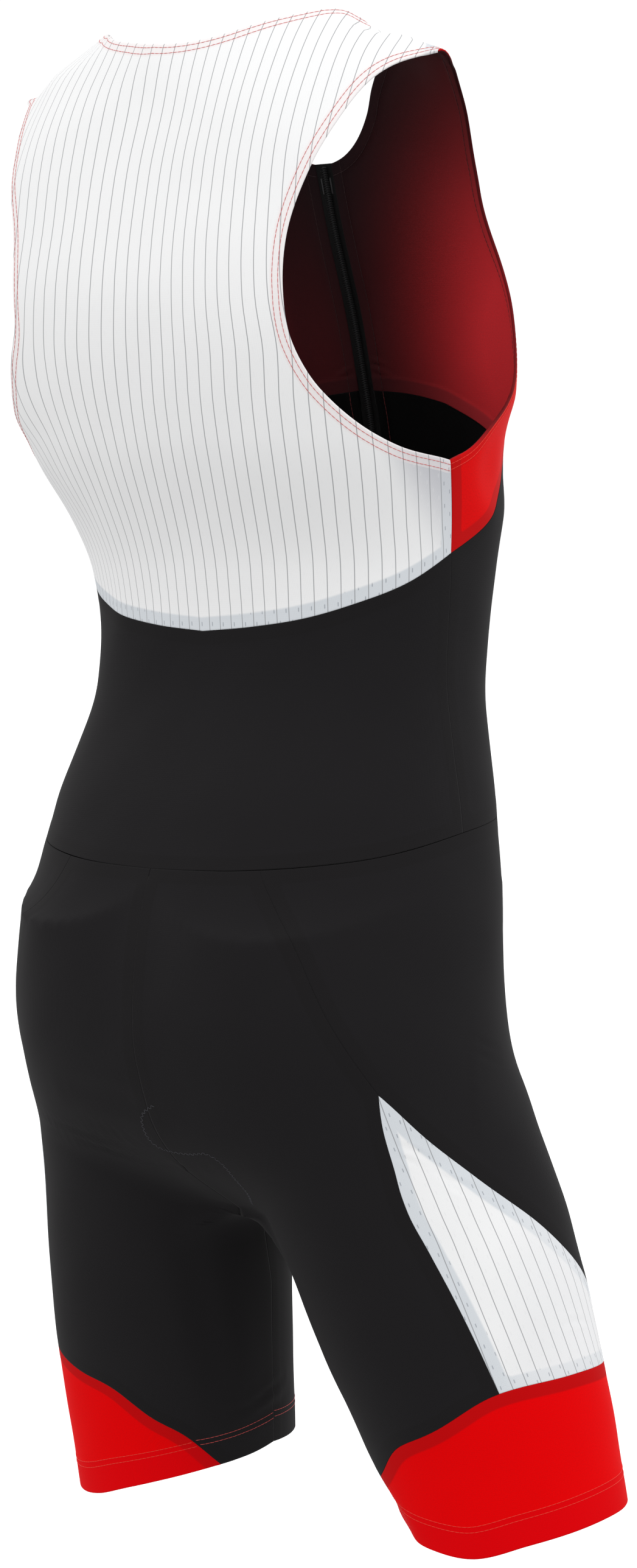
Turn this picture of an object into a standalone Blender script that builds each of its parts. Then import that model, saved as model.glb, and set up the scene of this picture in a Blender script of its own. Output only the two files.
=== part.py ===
"""Sleeveless front-zip triathlon suit, worn by nobody but filled out as on a body.

Frame: metres, +Z up.  The wearer faces -Y, so their left is +X.  The origin lies between the two
shoulder straps, where the wearer's shoulders carry the suit.

Every cloth piece is cut out of one smooth garment form.  A place on the form is given by an aim:
the turn in degrees round the body from the centre back (0) past the side (90) to the centre
front (180), and a height.  Above CHEST_CENTRE the height becomes a lift angle over the shoulder.
"""
import math

import bpy
import numpy as np

for left_over in list(bpy.data.objects):
    bpy.data.objects.remove(left_over, do_unlink=True)

# ---------------------------------------------------------------- driving sizes (metres)
WALL = 0.0012            # cloth
SEAM_GAP = 0.0003        # between two pieces at a seam
CHEST_CENTRE = -0.215    # aims above this height fan out over the shoulders
NECK_HALF = 0.100        # centre back to the neck end of the shoulder
NECK_RISE = 0.014        # neck end of the shoulder above the origin
SHOULDER_SLOPE = 0.42    # fall of the shoulder line for each metre outwards
SHOULDER_ROUND = 0.090   # height over which the shoulder rounds over
CROTCH_BLEND = 0.035     # how softly the legs run into the trunk


def table(columns, *rows):
    """A short table: one named column for each word of the first line."""
    return dict(zip(columns.split(), np.array(rows, float).T))


TRUNK = table(
    "z       half_width  back    front   side    back_square  front_square",
    (0.060,  0.170,      0.078, -0.070,  0.000,  2.0,         2.2),
    (-0.020, 0.178,      0.082, -0.076,  0.004,  2.1,         2.2),
    (-0.090, 0.180,      0.095, -0.095,  0.002,  2.3,         2.3),
    (-0.160, 0.174,      0.102, -0.120, -0.010,  2.5,         2.6),
    (-0.240, 0.159,      0.081, -0.141, -0.032,  2.6,         2.5),
    (-0.320, 0.138,      0.042, -0.154, -0.050,  2.5,         2.2),
    (-0.390, 0.131,      0.034, -0.152, -0.048,  2.5,         2.2),
    (-0.470, 0.149,      0.072, -0.144, -0.036,  2.3,         2.2),
    (-0.560, 0.163,      0.099, -0.130, -0.023,  2.1,         2.2),
    (-0.620, 0.155,      0.096, -0.114, -0.018,  2.0,         2.1),
    (-0.680, 0.116,      0.060, -0.092, -0.022,  2.0,         2.0),
    (-0.720, 0.048,     -0.006, -0.066, -0.032,  2.0,         2.0),
)

LEG = table(
    "z       centre_x  centre_y  long    broad   turn  square",
    (-0.540, 0.066,   -0.010,    0.103,  0.065,   0,   2.1),
    (-0.600, 0.075,   -0.018,    0.102,  0.077,  10,   2.1),
    (-0.660, 0.087,   -0.034,    0.098,  0.082,  25,   2.1),
    (-0.720, 0.102,   -0.052,    0.094,  0.081,  38,   2.1),
    (-0.800, 0.117,   -0.074,    0.088,  0.079,  42,   2.1),
    (-0.880, 0.129,   -0.098,    0.079,  0.075,  42,   2.1),
    (-0.980, 0.138,   -0.122,    0.072,  0.069,  42,   2.1),
)


def level(part, column, at):
    """One column of a table, on a smooth curve through its rows; the first column is the key."""
    key = next(iter(part.values()))
    order = np.argsort(key)
    keys, values = key[order], part[column][order]
    slopes = np.gradient(values, keys)
    at = np.clip(at, keys[0], keys[-1])
    low = np.clip(np.searchsorted(keys, at) - 1, 0, len(keys) - 2)
    step = keys[low + 1] - keys[low]
    t = (at - keys[low]) / step
    return (values[low] * (1 + 2 * t) * (1 - t) ** 2 + slopes[low] * step * t * (1 - t) ** 2
            + values[low + 1] * t * t * (3 - 2 * t) - slopes[low + 1] * step * t * t * (1 - t))


def oval(x, y, half_width, half_depth, square):
    """Rough distance outside a rounded oval."""
    reach = ((np.abs(x) / half_width) ** square + (np.abs(y) / half_depth) ** square) ** (1 / square)
    return (reach - 1) * np.sqrt(half_width * half_depth)


def merged(a, b, softness):
    """Union of two forms with a soft valley between them."""
    mix = np.clip(0.5 + 0.5 * (b - a) / softness, 0, 1)
    return b * (1 - mix) + a * mix - softness * mix * (1 - mix)


def trunk(x, y, z):
    side = level(TRUNK, "side", z)
    behind = y > side
    depth = np.where(behind, level(TRUNK, "back", z) - side, side - level(TRUNK, "front", z))
    square = np.where(behind, level(TRUNK, "back_square", z), level(TRUNK, "front_square", z))
    under_shoulder = NECK_RISE - SHOULDER_SLOPE * (np.abs(x) - NECK_HALF) - z
    rounded = np.sqrt(1 - (1 - np.clip(under_shoulder / SHOULDER_ROUND, 1e-4, 1)) ** 2)
    form = oval(x, y - side, level(TRUNK, "half_width", z), depth * rounded, square)
    return np.maximum(form, np.maximum(-under_shoulder, TRUNK["z"].min() - z))


def leg(x, y, z):
    """The thigh's long axis turns from straight back at the seat towards the outside at the front."""
    turn = np.radians(level(LEG, "turn", z))
    out, back = x - level(LEG, "centre_x", z), y - level(LEG, "centre_y", z)
    broad = out * np.cos(turn) + back * np.sin(turn)
    long = back * np.cos(turn) - out * np.sin(turn)
    form = oval(broad, long, level(LEG, "broad", z), level(LEG, "long", z), level(LEG, "square", z))
    return np.maximum(form, z - LEG["z"].max())


def form(points):
    """Below zero inside the garment, above zero outside."""
    x, y, z = points[..., 0], points[..., 1], points[..., 2]
    legs = merged(leg(x, y, z), leg(-x, y, z), CROTCH_BLEND)
    return merged(trunk(x, y, z), legs, CROTCH_BLEND)


# ---------------------------------------------------------------- aims: places on the form
LIFT_REACH = 0.200       # metres of height that stand for one radian of lift over the shoulder
DRIFT_TOP = -0.500       # the aims start on the body's middle above this height ...
DRIFT_END = -0.680       # ... and in the middle of the right leg below this one
FAR = 0.30               # longer than any reach from an aim's start to the cloth
STEPS = 60


def start(height):
    """Where the aims at these heights start, inside the right half of the body."""
    z = np.minimum(height, CHEST_CENTRE)
    drift = np.clip((DRIFT_TOP - z) / (DRIFT_TOP - DRIFT_END), 0, 1)
    drift = drift * drift * (3 - 2 * drift)
    x = -drift * level(LEG, "centre_x", z)
    y = (1 - drift) * level(TRUNK, "side", z) + drift * level(LEG, "centre_y", z)
    return np.stack([x, y, z], -1)


def aims_at(points):
    """The aims, turn and height, of points near the cloth."""
    away = points - start(points[..., 2])
    lift = np.arctan2(np.maximum(away[..., 2], 0), np.hypot(away[..., 0], away[..., 1]))
    turn = np.degrees(np.arctan2(-away[..., 0], away[..., 1]))
    height = np.minimum(points[..., 2], CHEST_CENTRE) + LIFT_REACH * lift
    return np.stack([turn, height], -1)


def reached(origin, way):
    """The first point of the form on each line from inside it."""
    far = np.full(way.shape[:-1], FAR)
    for step in range(STEPS, 0, -1):
        reach = FAR * step / STEPS
        far = np.where(form(origin + way * reach) > 0, reach, far)
    near = far - FAR / STEPS
    for _ in range(26):
        middle = (near + far) / 2
        inside = form(origin + way * middle[..., None]) < 0
        near = np.where(inside, middle, near)
        far = np.where(inside, far, middle)
    return origin + way * near[..., None]


def skin(aims):
    """The points of the form that the aims reach."""
    turn = np.radians(aims[..., 0])
    lift = np.maximum(aims[..., 1] - CHEST_CENTRE, 0) / LIFT_REACH
    way = np.stack([-np.sin(turn) * np.cos(lift), np.cos(turn) * np.cos(lift), np.sin(lift)], -1)
    points = reached(start(aims[..., 1]), way)
    past = np.maximum(points[..., 0], 0) / np.where(way[..., 0] > 1e-6, way[..., 0], np.inf)
    return points - way * past[..., None]            # the right half ends at the middle plane


def outward(points):
    """Unit normals of the form."""
    step = 0.0005
    slopes = [form(points + step * axis) - form(points - step * axis) for axis in np.eye(3)]
    slopes = np.stack(slopes, -1)
    return slopes / np.linalg.norm(slopes, axis=-1, keepdims=True)


# ---------------------------------------------------------------- seam lines, on the right half
# Places are (out, y, z) in metres: out is the distance from the middle to the wearer's right.
# Lines round a leg are (turn, height) or (turn, rise over the hem).
NECK_BACK = table(
    "out     y       z",
    (0.000,  0.077, -0.008),
    (0.041,  0.068, -0.005),
    (0.068,  0.051,  0.004),
    (0.088,  0.031,  0.010),
    (0.101,  0.008,  0.014),
    (0.098, -0.014,  0.011),
)
NECK_FRONT = table(
    "out     y       z",
    (0.098, -0.014,  0.011),
    (0.092, -0.029,  0.006),
    (0.082, -0.043,  0.000),
    (0.065, -0.059, -0.010),
    (0.052, -0.069, -0.023),
    (0.042, -0.077, -0.038),
    (0.030, -0.083, -0.051),
    (0.017, -0.086, -0.060),
    (0.006, -0.087, -0.064),
)
SHOULDER_SEAM = table(
    "out     y       z",
    (0.098, -0.014,  0.011),
    (0.126, -0.012, -0.003),
    (0.149, -0.002, -0.012),
    (0.161,  0.013, -0.016),
)
ARMHOLE_BACK = table(
    "out     y       z",
    (0.161,  0.013, -0.016),
    (0.148,  0.031, -0.023),
    (0.137,  0.047, -0.037),
    (0.126,  0.066, -0.064),
    (0.117,  0.077, -0.088),
    (0.107,  0.086, -0.125),
    (0.104,  0.086, -0.158),
    (0.106,  0.082, -0.184),
    (0.112,  0.070, -0.208),
    (0.124,  0.052, -0.229),
    (0.140,  0.026, -0.246),
    (0.153, -0.011, -0.254),
)
ARMHOLE_FRONT = table(
    "out     y       z",
    (0.161,  0.013, -0.016),
    (0.153, -0.016, -0.018),
    (0.142, -0.043, -0.045),
    (0.134, -0.063, -0.075),
    (0.137, -0.076, -0.115),
    (0.150, -0.081, -0.155),
    (0.158, -0.080, -0.190),
    (0.160, -0.069, -0.213),
    (0.161, -0.049, -0.231),
    (0.158, -0.029, -0.246),
    (0.153, -0.011, -0.254),
)
SIDE_SEAM_TOP = table(
    "out     y       z",
    (0.153, -0.011, -0.254),
    (0.145, -0.024, -0.284),
    (0.139, -0.032, -0.309),
)
SIDE_SEAM = table(
    "out     y       z",
    (0.139, -0.032, -0.309),
    (0.133, -0.039, -0.350),
    (0.132, -0.040, -0.405),
    (0.150, -0.030, -0.477),
)
BACK_PANEL_HEM = table(
    "out     y       z",
    (0.000,  0.034, -0.357),
    (0.036,  0.033, -0.354),
    (0.074,  0.026, -0.348),
    (0.104,  0.012, -0.338),
    (0.124, -0.004, -0.328),
    (0.139, -0.032, -0.309),
)
FRONT_PANEL_HEM = table(
    "out     y       z",
    (0.139, -0.032, -0.309),
    (0.143, -0.055, -0.297),
    (0.138, -0.086, -0.274),
    (0.104, -0.123, -0.234),
    (0.069, -0.131, -0.217),
    (0.034, -0.133, -0.208),
    (0.006, -0.133, -0.205),
)
CENTRE_FRONT = table(
    "out     y       z",
    (0.006, -0.087, -0.064),
    (0.006, -0.100, -0.105),
    (0.006, -0.120, -0.160),
    (0.006, -0.133, -0.205),
)
ZIP_FOOT = table(
    "out     y       z",
    (0.006, -0.133, -0.205),
    (0.006, -0.150, -0.300),
    (0.006, -0.152, -0.390),
    (0.006, -0.144, -0.465),
)
WAIST = table(
    "turn  z",
    (0,    -0.499),
    (30,   -0.497),
    (60,   -0.490),
    (88,   -0.477),
    (135,  -0.468),
    (180,  -0.465),
)
PRINCESS = table(
    "turn  z",
    (36,   -0.4965),
    (44,   -0.540),
    (47,   -0.587),
    (49.5, -0.628),
)
WEDGE_REAR = table(
    "out     y       z",
    (0.142,  0.043, -0.628),
    (0.141,  0.036, -0.653),
    (0.143,  0.028, -0.676),
    (0.147,  0.020, -0.702),
    (0.155,  0.009, -0.727),
    (0.164, -0.003, -0.755),
    (0.173, -0.015, -0.785),
    (0.180, -0.029, -0.817),
)
WEDGE_FRONT = table(
    "out     y       z",
    (0.142,  0.043, -0.628),
    (0.156,  0.013, -0.657),
    (0.171, -0.015, -0.681),
    (0.187, -0.053, -0.709),
    (0.191, -0.080, -0.729),
    (0.184, -0.117, -0.757),
    (0.160, -0.146, -0.786),
    (0.132, -0.162, -0.813),
)
HEM = table(
    "turn   z       left_drop",
    (-90,  -0.910,  0.000),
    (-52,  -0.914,  0.000),
    (-8,   -0.923,  0.008),
    (15,   -0.925,  0.017),
    (45,   -0.915,  0.031),
    (90,   -0.905,  0.029),
    (125,  -0.905,  0.017),
    (180,  -0.906,  0.004),
    (233,  -0.908,  0.000),
    (270,  -0.910,  0.000),
)
CUFF_RISE = table(
    "turn   rise",
    (-57,   0.000),
    (-40,   0.027),
    (-25,   0.043),
    (-8,    0.066),
    (10,    0.081),
    (45,    0.097),
    (86,    0.096),
    (126,   0.092),
    (165,   0.082),
    (195,   0.064),
    (218,   0.038),
    (235,   0.000),
)
CROTCH_CENTRE = (0.0, -0.040, -0.580)   # the seat's round turns about this point of the middle plane
INSEAM_TURN = 270.0
LEFT_DROP_TOP, LEFT_DROP_FULL = -0.690, -0.820   # the left leg's outside hangs a little lower

# How many facets lie along each seam line.
N_NECK_BACK, N_NECK_FRONT, N_SHOULDER, N_ARMHOLE, N_SIDE_TOP = 9, 6, 3, 12, 3
N_WAIST_SEAT, N_WAIST_SIDE, N_WAIST_FRONT, N_SIDE = 8, 4, 9, 8
N_RISE, N_INSEAM, N_PRINCESS, N_WEDGE = 8, 7, 6, 9
N_CUFF_BACK, N_CUFF_WEDGE, N_CUFF_FRONT, N_HEM_BACK, N_HEM_FRONT, N_CUFF_ROWS = 6, 8, 9, 2, 4, 4
N_BACK_HEM, N_FRONT_HEM = N_WAIST_SEAT + N_WAIST_SIDE, N_WAIST_FRONT
AIM_SCALE = (0.0026, 1.0)   # metres of cloth for a degree of turn and a metre of height
EVENING = 150
FINE = 12                # steps between two rows of a table when a seam line is drawn


def lengths(points):
    """The way along a line of points, from its first one."""
    return np.r_[0, np.cumsum(np.linalg.norm(np.diff(points, axis=0), axis=-1))]


def shared_out(line, count):
    """A line of aims again, at count equal steps along the cloth."""
    run = lengths(skin(line))
    at = np.linspace(0, run[-1], count + 1)
    return np.stack([np.interp(at, run, line[:, 0]), np.interp(at, run, line[:, 1])], -1)


def drawn(aims, count):
    """A smooth line through the aims, at count equal steps along the cloth."""
    run = lengths(skin(aims))
    fine = np.concatenate([np.linspace(a, b, FINE, endpoint=False) for a, b in zip(run, run[1:])])
    fine = np.r_[fine, run[-1]]
    rows = dict(run=run, turn=aims[:, 0], height=aims[:, 1])
    return shared_out(np.stack([level(rows, "turn", fine), level(rows, "height", fine)], -1), count)


def seam(rows, count):
    """A seam line from a table of places."""
    return drawn(aims_at(np.stack([-rows["out"], rows["y"], rows["z"]], -1)), count)


def waist_seam(turns, count):
    fine = np.linspace(*turns, 4 * FINE)
    return shared_out(np.stack([fine, level(WAIST, "z", fine)], -1), count)


def hem_height(turn):
    return level(HEM, "z", turn)


def cuff_height(turn):
    return hem_height(turn) + level(CUFF_RISE, "rise", turn)


def round_leg(height, turns, count):
    fine = np.linspace(*turns, 6 * FINE)
    return shared_out(np.stack([fine, height(fine)], -1), count)


def onto_cuff(line):
    """The line of aims led smoothly so that its last aim lies on the cuff's top line."""
    share = lengths(skin(line))
    miss = cuff_height(line[-1, 0]) - line[-1, 1]
    return np.stack([line[:, 0], line[:, 1] + miss * (share / share[-1]) ** 2], -1)


def centre_seam(front, count):
    """Down the middle plane from the waist to the crotch, behind or in front."""
    side = -1.0 if front else 1.0
    centre = np.array(CROTCH_CENTRE)
    top = level(WAIST, "z", 180.0 if front else 0.0)
    heights = np.linspace(top, centre[2], 2 * FINE, endpoint=False)
    angles = np.linspace(0, math.pi / 2, 3 * FINE)
    origins = [(0, centre[1], z) for z in heights] + [centre] * len(angles)
    ways = [(0, side, 0) for z in heights] + [(0, side * math.cos(a), -math.sin(a)) for a in angles]
    points = reached(np.array(origins, float), np.array(ways, float))
    run = lengths(points)
    at = np.linspace(0, run[-1], count + 1)
    aims = aims_at(np.stack([np.interp(at, run, points[:, axis]) for axis in range(3)], -1))
    if front:
        aims[:, 0] = np.mod(aims[:, 0], 360)
    return aims


def inseam(front, crotch, count):
    """Down the inside of the leg from the crotch to the hem."""
    foot_turn = INSEAM_TURN if front else INSEAM_TURN - 360
    share = np.linspace(0, 1, 4 * FINE)
    heights = crotch[1] + (hem_height(foot_turn) - crotch[1]) * share
    turns = crotch[0] + (foot_turn - crotch[0]) * np.minimum(1, 3 * share)
    return shared_out(np.stack([turns, heights], -1), count)


# ---------------------------------------------------------------- cloth pieces
def run_on(*lines):
    """Lines of aims joined end to end."""
    return np.concatenate([lines[0]] + [line[1:] for line in lines[1:]])


def evened(grid):
    """The inner places of a grid moved until its lines run evenly and never cross."""
    for _ in range(EVENING):
        along, down = (grid[1:-1, 2:] - grid[1:-1, :-2]) / 2, (grid[2:, 1:-1] - grid[:-2, 1:-1]) / 2
        a, b, c = (down ** 2).sum(-1), (along * down).sum(-1), (along ** 2).sum(-1)
        a, b, c = a[..., None], b[..., None], c[..., None]
        twist = (grid[2:, 2:] - grid[2:, :-2] - grid[:-2, 2:] + grid[:-2, :-2]) / 4
        wanted = (a * (grid[1:-1, 2:] + grid[1:-1, :-2]) + c * (grid[2:, 1:-1] + grid[:-2, 1:-1])
                  - 2 * b * twist) / (2 * (a + c) + 1e-12)
        grid[1:-1, 1:-1] += 0.8 * (wanted - grid[1:-1, 1:-1])
    return grid


def filled(top, bottom, left, right):
    """A grid of points between four seam lines; rows run from the top line to the bottom line."""
    u = np.linspace(0, 1, len(top))[None, :, None]
    v = np.linspace(0, 1, len(left))[:, None, None]
    corners = ((1 - u) * (1 - v) * top[0] + u * (1 - v) * top[-1]
               + (1 - u) * v * bottom[0] + u * v * bottom[-1])
    sides = (1 - u) * left[:, None] + u * right[:, None]
    grid = (1 - v) * top[None] + v * bottom[None] + sides - corners
    return skin(evened(grid * AIM_SCALE) / AIM_SCALE)


def mirrored(grid):
    return grid[:, ::-1] * (-1, 1, 1)


def outline(rows, columns):
    """The grid's outer places, clockwise as seen from outside the garment."""
    return ([(0, c) for c in range(columns)] + [(r, columns - 1) for r in range(1, rows)]
            + [(rows - 1, c) for c in range(columns - 2, -1, -1)] + [(r, 0) for r in range(rows - 2, 0, -1)])


def same(a, b):
    return np.linalg.norm(a - b) < 1e-5


def set_in(points, normals):
    """The piece's outline moved in along the cloth by half a seam gap."""
    loop = outline(*points.shape[:2])
    result = points.copy()
    for place, here in enumerate(loop):
        back, on = place - 1, (place + 1) % len(loop)
        while same(points[loop[back]], points[here]):
            back -= 1
        while same(points[loop[on]], points[here]):
            on = (on + 1) % len(loop)
        arriving = np.cross(points[here] - points[loop[back]], normals[here])
        leaving = np.cross(points[loop[on]] - points[here], normals[here])
        arriving, leaving = arriving / np.linalg.norm(arriving), leaving / np.linalg.norm(leaving)
        corner = max(1 + arriving @ leaving, 0.15)
        result[here] = points[here] + (arriving + leaving) / corner * SEAM_GAP / 2
    return result


def walled(points, normals, top=0.0, bottom=-WALL):
    """The outer and inner grids of a piece of cloth between two depths under the form."""
    edge = set_in(points, normals)
    return edge + normals * top, edge + normals * bottom


def lowered(grid, turn):
    """The left leg's cloth, led a little lower on its outside than the right leg's."""
    share = np.clip((LEFT_DROP_TOP - grid[..., 2]) / (LEFT_DROP_TOP - LEFT_DROP_FULL), 0, 1)
    drop = level(HEM, "left_drop", turn) * share * share * (3 - 2 * share)
    return grid - drop[..., None] * (0, 0, 1)


def left_side(points, outer, inner):
    """The same piece on the wearer's left."""
    turn = np.mod(aims_at(points)[..., 0] + 100, 360) - 100
    return mirrored(lowered(outer, turn)), mirrored(lowered(inner, turn))


def closed(outer, inner):
    """Points and faces of a closed body between two grids of points."""
    rows, columns = outer.shape[:2]
    grids = np.stack([outer, inner])
    points, number = [], {}
    for key in np.ndindex(2, rows, columns):
        layer, r, c = key
        twin = next((k for k in ((layer, r - 1, c), (layer, r, c - 1))
                     if k in number and same(grids[k], grids[key])), None)
        if twin is None:
            points.append(grids[key])
        number[key] = number[twin] if twin else len(points) - 1
    faces = []

    def face(*keys):
        corners = []
        for key in keys:
            if number[key] not in corners:
                corners.append(number[key])
        if len(corners) > 2:
            faces.append(corners)

    for r in range(rows - 1):
        for c in range(columns - 1):
            corners = [(r, c), (r + 1, c), (r + 1, c + 1), (r, c + 1)]
            falling = np.linalg.norm(outer[r, c] - outer[r + 1, c + 1])
            rising = np.linalg.norm(outer[r + 1, c] - outer[r, c + 1])
            if rising < falling:                      # both layers fold along the shorter diagonal
                corners = corners[1:] + corners[:1]
            for k in (1, 2):
                face((0, *corners[0]), (0, *corners[k]), (0, *corners[k + 1]))
                face((1, *corners[0]), (1, *corners[k + 1]), (1, *corners[k]))
    loop = outline(rows, columns)
    for a, b in zip(loop, loop[1:] + loop[:1]):
        face((0, *a), (0, *b), (1, *b), (1, *a))
    return points, faces


def material(name, colour, roughness, metallic=0.0):
    made = bpy.data.materials.new(name)
    made.use_nodes = True
    shader = made.node_tree.nodes["Principled BSDF"]
    shader.inputs["Base Color"].default_value = (*colour, 1.0)
    shader.inputs["Roughness"].default_value = roughness
    shader.inputs["Metallic"].default_value = metallic
    return made


def add(name, body, colour, roughness=0.75, metallic=0.0, origin=(0, 0, 0)):
    points, faces = body
    mesh = bpy.data.meshes.new(name)
    mesh.from_pydata([tuple(float(v) for v in np.subtract(p, origin)) for p in points], [], faces)
    mesh.materials.append(material(name + "_look", colour, roughness, metallic))
    made = bpy.data.objects.new(name, mesh)
    made.location = origin
    bpy.context.scene.collection.objects.link(made)
    return made


WHITE, BLACK, RED = (0.80, 0.80, 0.81), (0.016, 0.015, 0.016), (0.62, 0.006, 0.010)
CUFF_RED, ZIP_BLACK, METAL = (0.78, 0.006, 0.008), (0.012, 0.012, 0.012), (0.05, 0.05, 0.055)


def cloth(name, points, colour):
    """A piece of the right side, and its twin on the left."""
    outer, inner = walled(points, outward(points))
    add(name + "_right", closed(outer, inner), colour)
    add(name + "_left", closed(*left_side(points, outer, inner)), colour)


def whole_cloth(name, points, colour):
    """A piece that runs across the middle, from the grid of its right half."""
    points = np.concatenate([mirrored(points), points[:, 1:]], axis=1)
    half = points.shape[1] // 2
    normals = outward(points)
    normals[:, half] *= (0, 1, 1)
    add(name, closed(*walled(points, normals)), colour)


# Seam lines of the right side.
neck_back, neck_front = seam(NECK_BACK, N_NECK_BACK), seam(NECK_FRONT, N_NECK_FRONT)
shoulder = seam(SHOULDER_SEAM, N_SHOULDER)
armhole_back, armhole_front = seam(ARMHOLE_BACK, N_ARMHOLE), seam(ARMHOLE_FRONT, N_ARMHOLE)
side_top, side = seam(SIDE_SEAM_TOP, N_SIDE_TOP), seam(SIDE_SEAM, N_SIDE)
back_hem, front_hem = seam(BACK_PANEL_HEM, N_BACK_HEM), seam(FRONT_PANEL_HEM, N_FRONT_HEM)
centre_front, zip_foot = seam(CENTRE_FRONT, N_ARMHOLE + N_SIDE_TOP), seam(ZIP_FOOT, N_SIDE)
princess = drawn(np.stack([PRINCESS["turn"], PRINCESS["z"]], -1), N_PRINCESS)
wedge_rear, wedge_front = onto_cuff(seam(WEDGE_REAR, N_WEDGE)), onto_cuff(seam(WEDGE_FRONT, N_WEDGE))
waist_seat = waist_seam((0, princess[0, 0]), N_WAIST_SEAT)
waist_side = waist_seam((princess[0, 0], side[-1, 0]), N_WAIST_SIDE)
waist_front = waist_seam((side[-1, 0], zip_foot[-1, 0]), N_WAIST_FRONT)
waist_fly = waist_seam((side[-1, 0], 180), N_WAIST_FRONT)
side[-1], zip_foot[-1] = waist_side[-1], waist_front[-1]

centre_back = np.stack([np.zeros(N_ARMHOLE + N_SIDE_TOP + 1), np.linspace(
    neck_back[0, 1], back_hem[0, 1], N_ARMHOLE + N_SIDE_TOP + 1)], -1)
waist_back_middle = np.stack([np.zeros(N_SIDE + 1), np.linspace(
    back_hem[0, 1], waist_seat[0, 1], N_SIDE + 1)], -1)

rise_back, rise_front = centre_seam(False, N_RISE), centre_seam(True, N_RISE)
inseam_back = inseam(False, rise_back[-1], N_INSEAM)
inseam_front = inseam(True, rise_front[-1], N_INSEAM)
CUFF_ENDS = CUFF_RISE["turn"][0], CUFF_RISE["turn"][-1]
hem_back = round_leg(hem_height, (INSEAM_TURN - 360, CUFF_ENDS[0]), N_HEM_BACK)
hem_front = round_leg(hem_height, (CUFF_ENDS[1], INSEAM_TURN), N_HEM_FRONT)
cuff_back = round_leg(cuff_height, (CUFF_ENDS[0], wedge_rear[-1, 0]), N_CUFF_BACK)
cuff_wedge = round_leg(cuff_height, (wedge_rear[-1, 0], wedge_front[-1, 0]), N_CUFF_WEDGE)
cuff_front = round_leg(cuff_height, (wedge_front[-1, 0], CUFF_ENDS[1]), N_CUFF_FRONT)
cuff_top = run_on(cuff_back, cuff_wedge, cuff_front)
cuff_hem = round_leg(hem_height, CUFF_ENDS, len(cuff_top) - 1)

# The pieces of cloth.
whole_cloth("back_white", filled(run_on(neck_back, shoulder), back_hem, centre_back,
                                 run_on(armhole_back, side_top)), WHITE)
front_red = filled(run_on(shoulder[::-1], neck_front), front_hem,
                   run_on(armhole_front, side_top), centre_front)
cloth("front_red", front_red, RED)
whole_cloth("midriff_back", filled(back_hem, run_on(waist_seat, waist_side), waist_back_middle, side), BLACK)
midriff_front = filled(front_hem, waist_front, side, zip_foot)
cloth("midriff_front", midriff_front, BLACK)
cloth("shorts_back", filled(waist_seat, run_on(hem_back, cuff_back), run_on(rise_back, inseam_back),
                            run_on(princess, wedge_rear)), BLACK)
cloth("shorts_front", filled(run_on(waist_side, waist_fly), run_on(cuff_front, hem_front),
                             run_on(princess, wedge_front), run_on(rise_front, inseam_front)), BLACK)
apex_top = np.repeat(wedge_rear[:1], N_CUFF_WEDGE + 1, axis=0)
cloth("thigh_wedge", filled(apex_top, cuff_wedge, wedge_rear, wedge_front), WHITE)
cuff_end_back = np.repeat(cuff_top[:1], N_CUFF_ROWS + 1, axis=0)
cuff_end_front = np.repeat(cuff_top[-1:], N_CUFF_ROWS + 1, axis=0)
cloth("cuff_red", filled(cuff_top, cuff_hem, cuff_end_back, cuff_end_front), CUFF_RED)

# ---------------------------------------------------------------- zip
TAPE_IN, TAPE_OUT = 0.0008, 0.0125       # the tape's two long edges, out from the middle
TAPE_THICK = 0.0009
TAPE_FACE = -WALL - 0.0005               # the tape lies behind the front panels
CHAIN_HALF, CHAIN_FACE = 0.0024, 0.0001  # the coil: half its width, and its face against the form
CHAIN_STOP = 0.0065                      # the coil ends this far above the waist seam
SLIDER_Z = -0.0775                       # the slider's middle, closed at the top of the zip
HINGE_LIFT = 0.0027                      # the pull's axle in front of the form

# Everything on the zip is made from the points of the front panels' centre edges.
edge_near = np.concatenate([front_red[:, -1], midriff_front[1:, -1]])
edge_far = np.concatenate([front_red[:, -2], midriff_front[1:, -2]])
normals_near, normals_far = outward(edge_near), outward(edge_far)


def beside_zip(out):
    """Points and normals on the front panels' own facets at this distance from the middle."""
    t = ((out + edge_near[:, 0]) / (edge_near[:, 0] - edge_far[:, 0]))[:, None]
    return edge_near + t * (edge_far - edge_near), normals_near + t * (normals_far - normals_near)


def zip_strip(outs, stop=0.0):
    """Grids of points and normals beside the zip, ending above the waist by the stop."""
    columns = [beside_zip(out) for out in outs]
    points, normals = (np.stack([column[k] for column in columns], axis=1) for k in (0, 1))
    share = stop / np.linalg.norm(points[-1, 0] - points[-2, 0])
    for grid in (points, normals):
        grid[-1] += share * (grid[-2] - grid[-1])
    return points, normals


tape_outer, tape_inner = walled(*zip_strip((TAPE_OUT, -edge_near[0, 0], TAPE_IN)),
                                TAPE_FACE, TAPE_FACE - TAPE_THICK)
add("zip_tape_right", closed(tape_outer, tape_inner), ZIP_BLACK, 0.8)
add("zip_tape_left", closed(mirrored(tape_outer), mirrored(tape_inner)), ZIP_BLACK, 0.8)
chain, chain_normals = zip_strip((CHAIN_HALF, 0.0), CHAIN_STOP)
chain_normals[:, 1, 0] = 0
middle = chain[:, 1]
chain = np.concatenate([chain, mirrored(chain)[:, 1:]], axis=1)
chain_normals = np.concatenate([chain_normals, mirrored(chain_normals)[:, 1:]], axis=1)
add("zip_chain", closed(*walled(chain, chain_normals, CHAIN_FACE, TAPE_FACE + 0.00015)), ZIP_BLACK, 0.6)


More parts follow.
